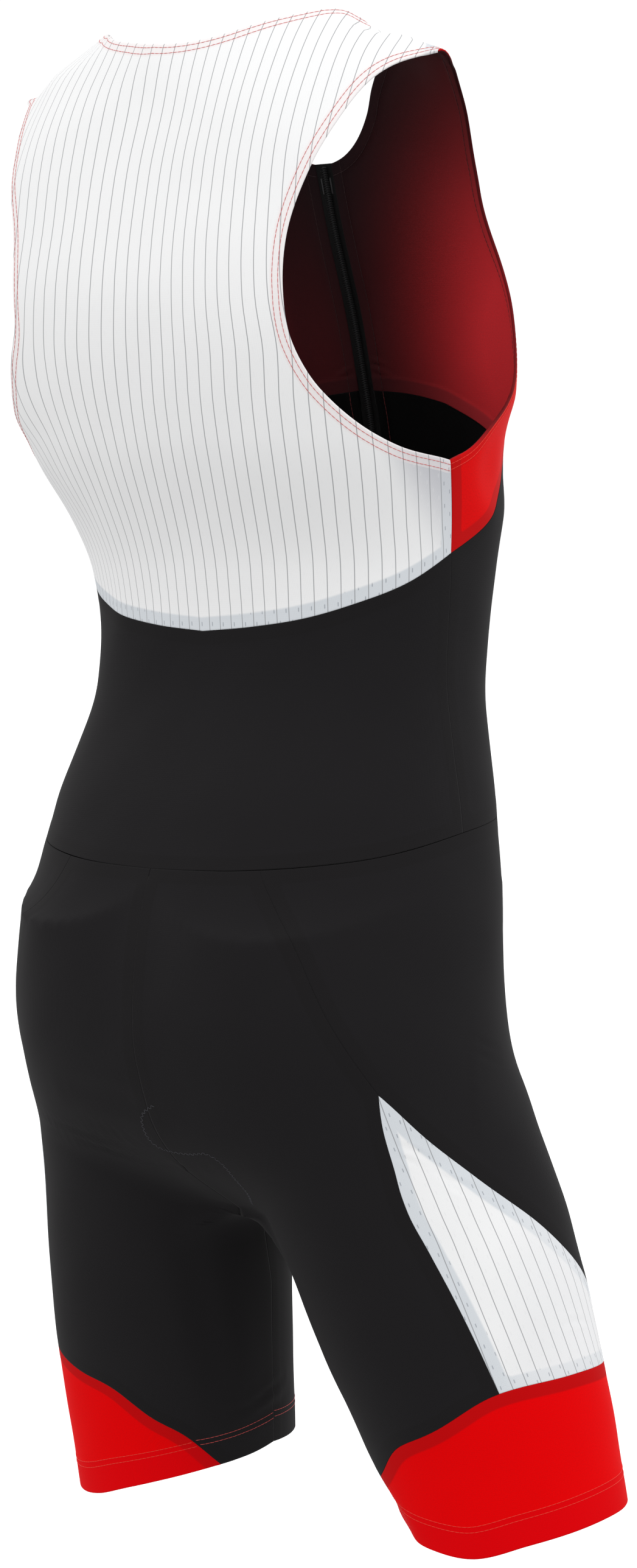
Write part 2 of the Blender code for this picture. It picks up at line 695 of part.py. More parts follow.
def blocks(cuts_u, cuts_v, cuts_w, filled_at):
    """A closed body of the cells, between the cuts, whose middles filled_at accepts."""
    cuts = [np.array(c, float) for c in (cuts_u, cuts_v, cuts_w)]
    shape = [len(c) - 1 for c in cuts]
    middles = [(c[:-1] + c[1:]) / 2 for c in cuts]
    full = {key for key in np.ndindex(*shape) if filled_at(*[m[k] for m, k in zip(middles, key)])}
    points, number, faces = [], {}, []
    for key in sorted(full):
        for axis in range(3):
            for way in (0, 1):
                beside = list(key)
                beside[axis] += 2 * way - 1
                if tuple(beside) in full:
                    continue
                p, q = (axis + 1) % 3, (axis + 2) % 3
                steps = ((0, 0), (1, 0), (1, 1), (0, 1)) if way else ((0, 0), (0, 1), (1, 1), (1, 0))
                corners = []
                for a, b in steps:
                    corner = list(key)
                    corner[axis] += way
                    corner[p] += a
                    corner[q] += b
                    corner = tuple(corner)
                    if corner not in number:
                        number[corner] = len(points)
                        points.append([c[k] for c, k in zip(cuts, corner)])
                    corners.append(number[corner])
                faces.append(corners)
    return np.array(points), faces


def on_front(points, z):
    """Points (across, down, out) of a zip part laid on the middle of the front at level z."""
    row = int(np.searchsorted(-middle[:-1, 2], -z))
    row = min(max(row, 1), len(middle) - 1)
    down = (middle[row] - middle[row - 1]) / np.linalg.norm(middle[row] - middle[row - 1])
    here = middle[row] + down * ((z - middle[row, 2]) / down[2])
    out = np.array([0, down[2], -down[1]])
    return here + points[:, :1] * (-1, 0, 0) + points[:, 1:2] * down + points[:, 2:] * out


MM = 0.001


def slider_cell(u, v, w):
    plate = 0.4 < w < 1.7
    flange = abs(u) > 2.8 and w < 1.7
    post = abs(u) < 0.9 and abs(v) > 2.5 and abs(v) < 3.7 and w > 0.4
    bar = abs(u) < 0.9 and abs(v) < 3.7 and w > 3.6
    return plate or flange or post or bar


slider_points, slider_faces = blocks((-4.1, -2.8, -0.9, 0.9, 2.8, 4.1), (-5.5, -3.7, -2.5, 2.5, 3.7, 5.5),
                                     (-1.2, 0.4, 1.7, 3.6, 4.6), slider_cell)
taper = 1 - 0.13 * (slider_points[:, 1] + 5.5) / 11
slider_points[:, 0] *= np.where(np.abs(slider_points[:, 0]) > 3, taper, 1)
slider_points = on_front(slider_points * MM, SLIDER_Z)
add("zip_slider", (slider_points, slider_faces), METAL, 0.35, 0.9)


def pull_cell(u, v, w):
    axle = v < 0.6
    arms = abs(u) > 1.5 and v < 5.0
    return axle or arms or v > 5.0


pull_points, pull_faces = blocks((-2.8, -1.5, 0.0, 1.5, 2.8), (-0.6, 0.6, 5.0, 12.0, 18.5, 20.3, 21.6, 22.2),
                                 (-0.6, 0.6), pull_cell)
ends = np.interp(pull_points[:, 1], (12.0, 18.5, 20.3, 21.6, 22.2), (1.0, 1.0, 0.86, 0.60, 0.30))
pull_points[:, 0] *= ends
hinge_point = on_front(np.array([(0, 0, HINGE_LIFT)]), SLIDER_Z)[0]
pull_points = on_front(pull_points * MM + (0, 0, HINGE_LIFT), SLIDER_Z)
add("zip_pull", (pull_points, pull_faces), METAL, 0.35, 0.9, origin=hinge_point)

stop_points, stop_faces = blocks((-3.6, 3.6), (0.3, 4.0), (-1.4, 0.6), lambda u, v, w: True)
stop_points = on_front(stop_points * MM, middle[-1, 2])
add("zip_stop_bottom", (stop_points, stop_faces), METAL, 0.4, 0.9)
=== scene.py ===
import math

import bpy
import numpy as np
from mathutils import Matrix, Vector
from mathutils.bvhtree import BVHTree
from mathutils.kdtree import KDTree


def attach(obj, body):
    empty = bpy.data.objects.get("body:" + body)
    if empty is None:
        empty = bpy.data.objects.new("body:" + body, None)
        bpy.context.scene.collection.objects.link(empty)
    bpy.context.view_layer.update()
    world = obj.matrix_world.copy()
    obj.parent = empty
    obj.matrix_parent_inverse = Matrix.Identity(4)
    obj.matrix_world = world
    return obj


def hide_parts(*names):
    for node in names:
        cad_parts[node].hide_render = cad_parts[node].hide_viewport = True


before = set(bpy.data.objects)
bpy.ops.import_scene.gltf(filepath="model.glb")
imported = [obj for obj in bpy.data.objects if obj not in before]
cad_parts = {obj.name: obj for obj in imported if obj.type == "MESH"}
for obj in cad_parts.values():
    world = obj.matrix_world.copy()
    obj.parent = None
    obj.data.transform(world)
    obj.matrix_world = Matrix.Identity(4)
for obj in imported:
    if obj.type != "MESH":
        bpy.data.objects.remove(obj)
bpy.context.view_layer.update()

# ------------------------------------------------------------ camera
# The camera stands level with the chest, two metres off, behind the wearer's right side,
# and looks a little down at the whole suit.
CAMERA_PLACE = (-1.3323, 1.6240, -0.295)
CAMERA_TURN, CAMERA_FALL = 218.0, 4.296         # degrees
LENS_MM, FILM_MM = 77.77, 36.0

bpy.ops.object.select_all(action="DESELECT")
bpy.ops.object.camera_add(
    location=CAMERA_PLACE,
    rotation=(math.radians(90 - CAMERA_FALL), 0, math.radians(CAMERA_TURN)))
camera = bpy.context.object
camera.name = "studio_camera"
camera.data.sensor_fit = "VERTICAL"
camera.data.sensor_height = FILM_MM
camera.data.lens = LENS_MM
camera.data.clip_end = 60
bpy.context.scene.camera = camera

# ------------------------------------------------------------ upper back
# One piece of thin white knit over both shoulder blades and up to the shoulder seams, with grey
# pinstripes knitted in.  Neck and armholes are folded in and coverstitched, the rest is overlocked.

# Every piece of the suit is cut out of one smooth form, on which a place is an aim: the turn in
# degrees from the centre back (0) past the wearer's right (90) to the centre front (180), and a
# height, which above the chest's centre is a lift over the shoulder.
CHEST_CENTRE = -0.215
NECK_HALF, NECK_RISE = 0.100, 0.014
SHOULDER_SLOPE, SHOULDER_ROUND = 0.42, 0.090
CROTCH_BLEND = 0.035                     # softness of the valley between trunk and legs


def table(columns, *rows):
    """A short table: one named column for each word of the first line."""
    return dict(zip(columns.split(), np.array(rows, float).T))


# The trunk level by level: half its width, where its back, front and side seam lie, and how
# square its two halves are.  The right leg: its centre, its two half widths, and how far it turns.
TRUNK = table(
    "z       half_width  back    front   side    back_square  front_square",
    (0.060,  0.170,      0.078, -0.070,  0.000,  2.0,         2.2),
    (-0.020, 0.178,      0.082, -0.076,  0.004,  2.1,         2.2),
    (-0.090, 0.180,      0.095, -0.095,  0.002,  2.3,         2.3),
    (-0.160, 0.174,      0.102, -0.120, -0.010,  2.5,         2.6),
    (-0.240, 0.159,      0.081, -0.141, -0.032,  2.6,         2.5),
    (-0.320, 0.138,      0.042, -0.154, -0.050,  2.5,         2.2),
    (-0.390, 0.131,      0.034, -0.152, -0.048,  2.5,         2.2),
    (-0.470, 0.149,      0.072, -0.144, -0.036,  2.3,         2.2),
    (-0.560, 0.163,      0.099, -0.130, -0.023,  2.1,         2.2),
    (-0.620, 0.155,      0.096, -0.114, -0.018,  2.0,         2.1),
    (-0.680, 0.116,      0.060, -0.092, -0.022,  2.0,         2.0),
    (-0.720, 0.048,     -0.006, -0.066, -0.032,  2.0,         2.0),
)
LEG = table(
    "z       centre_x  centre_y  long    broad   turn  square",
    (-0.540, 0.066,   -0.010,    0.103,  0.065,   0,   2.1),
    (-0.600, 0.075,   -0.018,    0.102,  0.077,  10,   2.1),
    (-0.660, 0.087,   -0.034,    0.098,  0.082,  25,   2.1),
    (-0.720, 0.102,   -0.052,    0.094,  0.081,  38,   2.1),
    (-0.800, 0.117,   -0.074,    0.088,  0.079,  42,   2.1),
    (-0.880, 0.129,   -0.098,    0.079,  0.075,  42,   2.1),
    (-0.980, 0.138,   -0.122,    0.072,  0.069,  42,   2.1),
)


def level(part, column, at):
    """One column of a table, on a smooth curve through its rows; the first column is the key."""
    key = next(iter(part.values()))
    order = np.argsort(key)
    keys, values = key[order], part[column][order]
    slopes = np.gradient(values, keys)
    at = np.clip(at, keys[0], keys[-1])
    low = np.clip(np.searchsorted(keys, at) - 1, 0, len(keys) - 2)
    step = keys[low + 1] - keys[low]
    t = (at - keys[low]) / step
    return (values[low] * (1 + 2 * t) * (1 - t) ** 2 + slopes[low] * step * t * (1 - t) ** 2
            + values[low + 1] * t * t * (3 - 2 * t) - slopes[low + 1] * step * t * t * (1 - t))


def oval(x, y, half_width, half_depth, square):
    """Rough distance outside a rounded oval."""
    reach = ((np.abs(x) / half_width) ** square + (np.abs(y) / half_depth) ** square) ** (1 / square)
    return (reach - 1) * np.sqrt(half_width * half_depth)


def merged(a, b, softness):
    """Union of two forms with a soft valley between them."""
    mix = np.clip(0.5 + 0.5 * (b - a) / softness, 0, 1)
    return b * (1 - mix) + a * mix - softness * mix * (1 - mix)


def trunk(x, y, z):
    """The trunk's form, cut off along the slope of the shoulders and rounded towards it."""
    side = level(TRUNK, "side", z)
    behind = y > side
    depth = np.where(behind, level(TRUNK, "back", z) - side, side - level(TRUNK, "front", z))
    square = np.where(behind, level(TRUNK, "back_square", z), level(TRUNK, "front_square", z))
    under_shoulder = NECK_RISE - SHOULDER_SLOPE * (np.abs(x) - NECK_HALF) - z
    rounded = np.sqrt(1 - (1 - np.clip(under_shoulder / SHOULDER_ROUND, 1e-4, 1)) ** 2)
    form = oval(x, y - side, level(TRUNK, "half_width", z), depth * rounded, square)
    return np.maximum(form, np.maximum(-under_shoulder, TRUNK["z"].min() - z))


def leg(x, y, z):
    """The thigh's long axis turns from straight back at the seat towards the outside at the front."""
    turn = np.radians(level(LEG, "turn", z))
    out, back = x - level(LEG, "centre_x", z), y - level(LEG, "centre_y", z)
    broad = out * np.cos(turn) + back * np.sin(turn)
    long = back * np.cos(turn) - out * np.sin(turn)
    form = oval(broad, long, level(LEG, "broad", z), level(LEG, "long", z), level(LEG, "square", z))
    return np.maximum(form, z - LEG["z"].max())


def form(points):
    """Below zero inside the suit, above zero outside."""
    x, y, z = points[..., 0], points[..., 1], points[..., 2]
    legs = merged(leg(x, y, z), leg(-x, y, z), CROTCH_BLEND)
    return merged(trunk(x, y, z), legs, CROTCH_BLEND)


LIFT_REACH = 0.200                       # metres of height for one radian of lift
DRIFT_TOP, DRIFT_END = -0.500, -0.680    # aims start on the body's middle, below this in the leg's
FAR, STEPS, HALVINGS = 0.30, 60, 18      # how the form is searched for along an aim


def eased(value, begin, end):
    """0 before begin, 1 after end, and a soft rise between."""
    t = np.clip((value - begin) / (end - begin), 0, 1)
    return t * t * (3 - 2 * t)


def start(height):
    """Where the aims at these heights start, inside the right half of the body."""
    z = np.minimum(height, CHEST_CENTRE)
    drift = eased(-z, -DRIFT_TOP, -DRIFT_END)
    x = -drift * level(LEG, "centre_x", z)
    y = (1 - drift) * level(TRUNK, "side", z) + drift * level(LEG, "centre_y", z)
    return np.stack([x, y, z], -1)


def aims_at(points):
    """The aims, turn and height, of points near the cloth."""
    away = points - start(points[..., 2])
    lift = np.arctan2(np.maximum(away[..., 2], 0), np.hypot(away[..., 0], away[..., 1]))
    turn = np.degrees(np.arctan2(-away[..., 0], away[..., 1]))
    height = np.minimum(points[..., 2], CHEST_CENTRE) + LIFT_REACH * lift
    return np.stack([turn, height], -1)


def reached(origin, way):
    """The first point of the form on each line from inside it."""
    far = np.full(way.shape[:-1], FAR)
    for step in range(STEPS, 0, -1):
        reach = FAR * step / STEPS
        far = np.where(form(origin + way * reach) > 0, reach, far)
    near = far - FAR / STEPS
    for _ in range(HALVINGS):
        middle = (near + far) / 2
        inside = form(origin + way * middle[..., None]) < 0
        near = np.where(inside, middle, near)
        far = np.where(inside, far, middle)
    return origin + way * near[..., None]


def skin(aims):
    """The points of the form that the aims reach."""
    turn = np.radians(aims[..., 0])
    lift = np.maximum(aims[..., 1] - CHEST_CENTRE, 0) / LIFT_REACH
    way = np.stack([-np.sin(turn) * np.cos(lift), np.cos(turn) * np.cos(lift), np.sin(lift)], -1)
    points = reached(start(aims[..., 1]), way)
    past = np.maximum(points[..., 0], 0) / np.where(way[..., 0] > 1e-6, way[..., 0], np.inf)
    return points - way * past[..., None]            # the right half ends at the middle plane


PROBE = 0.0005                           # half the distance over which the form's slope is taken


def unit(ways):
    """The same ways, each of length one."""
    return ways / np.linalg.norm(ways, axis=-1, keepdims=True)


def outward(points):
    """Unit normals of the form."""
    slopes = [form(points + PROBE * axis) - form(points - PROBE * axis) for axis in np.eye(3)]
    return unit(np.stack(slopes, -1))


# Seam lines are aims with a third number: 1 along an open, folded edge and 0 along a seam.
# A line is drawn through a few places at so many coarse steps, each of them THREADS fine ones.
THREADS = 8
DRAWING = 12                             # fine places between two given ones, while a line is drawn


def lengths(points):
    """The way along a line of points, from its first one."""
    return np.r_[0, np.cumsum(np.linalg.norm(np.diff(points, axis=0), axis=-1))]


def taken(values, at, run=None):
    """Rows of values at places along them, counted in rows or along a run."""
    run = np.arange(len(values)) if run is None else run
    return np.stack([np.interp(at, run, column) for column in values.T], -1)


def shared_out(line, count):
    """A line of aims again, at equal steps along the cloth."""
    run = lengths(skin(line))
    return taken(line, np.linspace(0, run[-1], count * THREADS + 1), run)


def drawn(aims, count):
    """A smooth line through the aims."""
    run = lengths(skin(aims))
    fine = np.concatenate([np.linspace(a, b, DRAWING, endpoint=False) for a, b in zip(run, run[1:])])
    fine = np.r_[fine, run[-1]]
    rows = dict(run=run, turn=aims[:, 0], height=aims[:, 1])
    return shared_out(np.stack([level(rows, "turn", fine), level(rows, "height", fine)], -1), count)


def marked(line, folded):
    """The line of aims with its third number."""
    return np.column_stack([line, np.full(len(line), float(folded))])


def seam(rows, count, folded=False):
    """A seam line from a table of places."""
    return marked(drawn(aims_at(np.stack([-rows["out"], rows["y"], rows["z"]], -1)), count), folded)


def run_on(*lines):
    """Lines joined end to end."""
    return np.concatenate([line[:-1] for line in lines[:-1]] + [lines[-1]])


def spanned(top, bottom, left, right, u, v):
    """A grid of aims stretched between four lines, at the shares u across and v down."""
    corners = ((1 - u) * (1 - v) * top[:1] + u * (1 - v) * top[-1:]
               + (1 - u) * v * bottom[:1] + u * v * bottom[-1:])
    return (1 - v) * top[None] + v * bottom[None] + (1 - u) * left[:, None] + u * right[:, None] - corners


AIM_SCALE = (0.0026, 1.0)                # metres of cloth for a degree of turn and a metre of height
EVENING_PASSES, EVENING_SHARE = 150, 0.8


def evened(grid):
    """The inner places of a grid moved until its lines run evenly and never cross."""
    for _ in range(EVENING_PASSES):
        along = (grid[1:-1, 2:] - grid[1:-1, :-2]) / 2
        down = (grid[2:, 1:-1] - grid[:-2, 1:-1]) / 2
        a, b, c = (down ** 2).sum(-1), (along * down).sum(-1), (along ** 2).sum(-1)
        a, b, c = a[..., None], b[..., None], c[..., None]
        twist = (grid[2:, 2:] - grid[2:, :-2] - grid[:-2, 2:] + grid[:-2, :-2]) / 4
        wanted = (a * (grid[1:-1, 2:] + grid[1:-1, :-2]) + c * (grid[2:, 1:-1] + grid[:-2, 1:-1])
                  - 2 * b * twist) / (2 * (a + c) + 1e-12)
        grid[1:-1, 1:-1] += EVENING_SHARE * (wanted - grid[1:-1, 1:-1])
    return grid


def places(fine):
    """The fine steps between 0 and the last, and two more close to each end for the rolled edge."""
    return np.r_[0, 0.25, 0.55, np.arange(1.0, fine), fine - 0.55, fine - 0.25, fine]


def between(values, at):
    """Smooth values at shares of steps along the first axis of an array."""
    low = np.clip(np.floor(at).astype(int), 0, len(values) - 2)
    t = (at - low).reshape(-1, *[1] * (values.ndim - 1))
    slopes = np.gradient(values, axis=0)
    return (values[low] * (1 + 2 * t) * (1 - t) ** 2 + slopes[low] * t * (1 - t) ** 2
            + values[low + 1] * t * t * (3 - 2 * t) - slopes[low + 1] * t * t * (1 - t))


def finer(grid, down, across):
    """A coarse grid's values at fine places down and across."""
    halfway = between(grid, down / THREADS)
    return between(halfway.swapaxes(0, 1), across / THREADS).swapaxes(0, 1)


RELAXING_PASSES, RELAXING_SHARE = 1500, 1.6


def laid_flat(grid):
    """The grid's cloth laid flat on the cutting table: (across, up) in metres for each place."""
    across = np.linalg.norm(np.diff(grid, axis=1), axis=-1)
    down = np.linalg.norm(np.diff(grid, axis=0), axis=-1)
    x = np.c_[np.zeros(len(grid)), np.cumsum(across, axis=1)]
    x -= x[:, x.shape[1] // 2][:, None]
    y = -np.r_[np.zeros((1, grid.shape[1])), np.cumsum(down, axis=0)]
    flat = np.stack([x, y], -1)
    ties = []
    for dr, dc in ((0, 1), (1, 0), (1, 1), (1, -1)):
        rows, columns = np.mgrid[0:grid.shape[0] - dr, max(0, -dc):grid.shape[1] - max(0, dc)]
        a = rows * grid.shape[1] + columns
        b = (rows + dr) * grid.shape[1] + columns + dc
        ties.append(np.stack([a.ravel(), b.ravel()], -1))
    ties = np.concatenate(ties)
    solid, flat = grid.reshape(-1, 3), flat.reshape(-1, 2)
    rest = np.linalg.norm(solid[ties[:, 0]] - solid[ties[:, 1]], axis=-1)
    held = np.bincount(ties.ravel(), minlength=len(flat))
    for _ in range(RELAXING_PASSES):
        apart = flat[ties[:, 1]] - flat[ties[:, 0]]
        now = np.linalg.norm(apart, axis=-1)
        pull = apart * ((now - rest) / np.maximum(now, 1e-9) / 2)[:, None]
        for axis in range(2):
            drawn_in = (np.bincount(ties[:, 0], pull[:, axis], len(flat))
                        - np.bincount(ties[:, 1], pull[:, axis], len(flat)))
            flat[:, axis] += RELAXING_SHARE * drawn_in / held
    return flat.reshape(*grid.shape[:2], 2)


def upright(flat, column):
    """The flat cut turned until this column of its grid runs straight down from (0, 0)."""
    top, foot = flat[0, column], flat[-1, column]
    down = unit(foot - top)
    return (flat - top) @ np.array([[-down[1], -down[0]], [down[0], -down[1]]])


def outline(rows, columns):
    """The grid's outer places, clockwise as seen from outside the suit."""
    return ([(0, c) for c in range(columns)] + [(r, columns - 1) for r in range(1, rows)]
            + [(rows - 1, c) for c in range(columns - 2, -1, -1)] + [(r, 0) for r in range(rows - 2, 0, -1)])


TOUCHING, SHARPEST = 0.00001, 0.3


def same(a, b):
    """Whether two places are one, as where a piece runs out in a point."""
    return np.linalg.norm(a - b) < TOUCHING


def inwards(points, normals, loop):
    """For each place of the outline, the way into the piece along the cloth, longer at corners."""
    ways = []
    for place, here in enumerate(loop):
        back, on = place - 1, (place + 1) % len(loop)
        while same(points[loop[back]], points[here]):
            back -= 1
        while same(points[loop[on]], points[here]):
            on = (on + 1) % len(loop)
        arriving = unit(np.cross(points[here] - points[loop[back]], normals[here]))
        leaving = unit(np.cross(points[loop[on]] - points[here], normals[here]))
        ways.append((arriving + leaving) / max(1 + arriving @ leaving, SHARPEST))
    return np.array(ways)


NEAR_EDGE = 0.040                        # beyond this far, how far an edge is doesn't matter
BEAD_STEP = 0.00025


def how_far(points, edge_runs):
    """Distance of each point from the nearest of some runs of edge."""
    beads = []
    for run in edge_runs:
        along = lengths(run)
        beads.append(taken(run, np.arange(0, along[-1] + 0.8 * BEAD_STEP, BEAD_STEP), along))
    if not beads:
        return np.full(points.shape[:2], NEAR_EDGE)
    beads = np.concatenate(beads)
    tree = KDTree(len(beads))
    for number, bead in enumerate(beads):
        tree.insert(bead, number)
    tree.balance()
    away = [tree.find(point)[2] for point in points.reshape(-1, 3)]
    return np.minimum(away, NEAR_EDGE).reshape(points.shape[:2])


def cut_out(top, bottom, left, right):
    """A piece of cloth of the right side between four lines, rows running from top to bottom."""
    lines = top, bottom, left, right
    coarse = [line[::THREADS, :2] for line in lines]
    u, v = (np.linspace(0, 1, len(line)) for line in (coarse[0], coarse[2]))
    straight = spanned(*coarse, u[None, :, None], v[:, None, None])
    smooth = evened(straight * AIM_SCALE) / AIM_SCALE
    across, down = places(len(top) - 1), places(len(left) - 1)
    fine = [taken(line[:, :2], at) for line, at in zip(lines, (across, across, down, down))]
    u, v = across / across[-1], down / down[-1]
    aims = spanned(*fine, u[None, :, None], v[:, None, None]) + finer(smooth - straight, down, across)
    folded = [line[np.minimum(at[:-1].astype(int), len(line) - 2), 2] > 0.5
              for line, at in zip(lines, (across, across, down, down))]
    points = skin(aims)
    return dict(points=points, normals=outward(points), folded=folded,
                coarse=skin(smooth), across=across, down=down)


def mirrored(grid):
    """The grid of the other side of the body."""
    return grid[:, ::-1] * (-1, 1, 1)


def both_halves(cut):
    """A piece that runs across the middle, from its right half."""
    def whole(grid):
        return np.concatenate([mirrored(grid), grid[:, 1:]], axis=1)
    top, bottom, _, right = cut["folded"]
    across = cut["across"]
    normals = whole(cut["normals"])
    normals[:, len(across) - 1] *= (0, 1, 1)
    return dict(points=whole(cut["points"]), normals=unit(normals), coarse=whole(cut["coarse"]),
                down=cut["down"],
                folded=[np.r_[top[::-1], top], np.r_[bottom[::-1], bottom], right, right],
                across=np.r_[across[-1] - across[::-1], across[-1] + across[1:]])


def stretches(cut, folded):
    """The parts of a piece's border that are folded, or those that are sewn on: which side of
    the grid (top, bottom, left, right), and its first and last place."""
    found = []
    for number, marks in enumerate(cut["folded"]):
        turns = np.flatnonzero(np.diff(np.r_[False, marks == folded, False]))
        found += [(number, begin, end) for begin, end in zip(turns[::2], turns[1::2])]
    return [place for place in found if lengths(along(cut["points"], place))[-1] > 1e-4]


def along(grid, place):
    """A grid's values along one of the stretches."""
    number, begin, end = place
    return (grid[0], grid[-1], grid[:, 0], grid[:, -1])[number][begin:end + 1]


# How the worn suit has settled off its plain form, in mm: place, how far round it, which way.
SETTLED = (
    ((-130, -8, -5), (40, 41, 60), (0, 0, -6.4)),       # the right shoulder slopes down from the neck
    ((-112, 4, 6), (14, 18, 24), (0, 0, -4.2)),
    ((-98, -24, 8), (17, 19, 20), (-1.5, 0, -4.8)),
    ((-100, -8, 12), (10, 11, 16), (2.2, 0, -3.3)),
    ((-166, -8, -14), (15, 15, 16), (0, 0, -4)),
    ((-150, -84, -252), (34, 40, 30), (5.5, 4, 0)),     # under the right arm
    ((138, -4, -6), (33, 42, 60), (0, 0, -11.5)),       # the left shoulder
    ((134, 50, -45), (30, 40, 50), (-4, 0, 0)),
    ((42, 66, -4), (38, 26, 24), (-4.5, 0, 3.5)),       # the left of the neck leans in
    ((84, 30, 9), (38, 38, 24), (-10.5, 0, 0)),
    ((90, -34, 4), (44, 36, 32), (0, 0, -9)),
    ((118, 60, -203), (30, 40, 34), (8, 0, 0)),         # under the left arm
    ((112, 20, -312), (38, 50, 60), (-3.2, -2.6, 0)),
    ((-78, -56, -925), (36, 34, 42), (-6, -5, 0)),      # inside the right cuff
)


def settled(points):
    """Points of the plain form, shifted to where the worn cloth lies."""
    shift = np.zeros(points.shape)
    for place, reach, way in SETTLED:
        away = (((points * 1000 - place) / reach) ** 2).sum(-1)
        shift += np.exp(-away ** 2)[..., None] * np.array(way) / 1000
    return points + shift


CLOTH = 0.0009                # thickness of the knit
ALLOWANCE, ALLOWANCE_THICK = 0.0088, 0.0005      # overlocked edges that lie behind every seam
FOLD_THICK = 0.0007           # one more layer behind a folded edge
SEAM_ROLL, BLACK_ROLL, FOLD_ROLL = 0.00032, 0.00003, 0.0008     # how roundly the cloth turns in
SET_BACK = 0.00010            # how far a piece ends short of its edge
EASE = 0.0012                 # over which one more layer behind the cloth thins out
BAND_LIFT, BAND_EASE = 0.00012, 0.0008           # the cloth bulges a little over its seam edges
MERGE = 0.000004              # places of a piece this close are one


def rolled(distance, radius):
    """How far the cloth sinks at a distance from an edge that is rolled to this radius."""
    near = np.maximum(radius - distance, 0)
    return radius - np.sqrt(radius ** 2 - near ** 2)


def pick(*parts):
    """Selects these pieces and nothing else."""
    bpy.ops.object.select_all(action="DESELECT")
    for part in parts:
        part.select_set(True)
    bpy.context.view_layer.objects.active = parts[0]


def close_up(name, outer, inner, rim, crisp=False):
    """An object from an outer and an inner grid, and the belt of points between their borders.
    The belt's faces are smooth, or flat where it is crisp."""
    rows, columns = outer.shape[:2]
    number = np.arange(rows * columns).reshape(rows, columns)
    a, b, c, d = number[:-1, :-1], number[1:, :-1], number[1:, 1:], number[:-1, 1:]
    front = np.stack([a, b, c, d], -1).reshape(-1, 4)
    back = rows * columns + np.stack([a, d, c, b], -1).reshape(-1, 4)
    edge = number[tuple(np.array(outline(rows, columns)).T)]
    after = np.roll(edge, -1)
    belt = 2 * rows * columns + np.arange(len(edge))
    belt_after = np.roll(belt, -1)
    front_rim = np.stack([edge, after, belt_after, belt], -1)
    back_rim = np.stack([belt, belt_after, rows * columns + after, rows * columns + edge], -1)
    faces = np.concatenate([front, back, front_rim, back_rim])
    mesh = bpy.data.meshes.new(name)
    points = np.concatenate([outer.reshape(-1, 3), inner.reshape(-1, 3), rim])
    mesh.from_pydata(points.tolist(), [], faces.tolist())
    mesh.polygons.foreach_set("use_smooth", np.arange(len(faces)) < len(faces) - 2 * len(edge) * crisp)
    made = bpy.data.objects.new(name, mesh)
    bpy.context.scene.collection.objects.link(made)
    pick(made)
    return made, faces


def sew(name, cut, flat, fold_width, seam_roll, stripes=None):
    """The piece as a closed thin shell with rolled edges; returns its object."""
    points, normals = cut["points"], cut["normals"]
    rows, columns = points.shape[:2]
    loop = outline(rows, columns)
    border = tuple(np.array(loop).T)
    to_fold, to_seam = (how_far(points, [along(points, place) for place in stretches(cut, folded)])
                        for folded in (True, False))
    ways = inwards(points, normals, loop)
    rest = points[border]
    points = points.copy()
    set_back = min(SET_BACK, seam_roll)
    points[border] = rest + ways * set_back
    at_edge = np.zeros((rows, columns), bool)
    at_edge[border] = True
    fold, joint = (np.where(at_edge, np.maximum(d, set_back), d) for d in (to_fold, to_seam))
    thick = (CLOTH + FOLD_THICK * (1 - eased(fold, fold_width, fold_width + EASE))
             + ALLOWANCE_THICK * (1 - eased(joint, ALLOWANCE, ALLOWANCE + EASE)))
    sink = np.maximum(rolled(joint, seam_roll), rolled(fold, FOLD_ROLL))
    raised = BAND_LIFT * (1 - eased(joint, ALLOWANCE - BAND_EASE, ALLOWANCE + BAND_EASE))
    lift = creased(points) + raised
    points = settled(points)
    outer = points + normals * (lift - sink)[..., None]
    inner = points + normals * (lift - thick + sink)[..., None]
    rim = (outer[border] + inner[border]) / 2 - ways * 0.8 * set_back

    made, faces = close_up(name, outer, inner, rim, crisp=seam_roll < SET_BACK)
    mesh = made.data
    held = {"to_seam": 1000 * to_seam, "to_fold": 1000 * to_fold}
    if stripes is not None:
        held["stripe"] = stripes
    held = {title: np.r_[values.ravel(), values.ravel(), values[border]] for title, values in held.items()}
    held["inside"] = np.r_[np.zeros(rows * columns), np.ones(rows * columns), np.full(len(rim), 0.5)]
    for title, values in held.items():
        mesh.attributes.new(title, "FLOAT", "POINT").data.foreach_set("value", values.astype(np.float32))
    spread = np.concatenate([flat.reshape(-1, 2), flat.reshape(-1, 2), flat[border]])
    mesh.uv_layers.new(name="cut").data.foreach_set("uv", spread[faces.ravel()].ravel().astype(np.float32))
    bpy.ops.object.mode_set(mode="EDIT")
    bpy.ops.mesh.select_all(action="SELECT")
    bpy.ops.mesh.remove_doubles(threshold=MERGE)
    bpy.ops.mesh.select_all(action="DESELECT")
    bpy.ops.object.mode_set(mode="OBJECT")
    return made


def crease(half_width, depth, *path):
    """A soft trough, or with a negative depth a ridge, along a few places near the cloth, in mm."""
    path = between(np.array(path, float) / 1000, np.linspace(0, len(path) - 1, 6 * len(path)))
    for _ in range(4):
        path -= outward(path) * form(path)[:, None]
    return half_width / 1000, depth / 1000, path


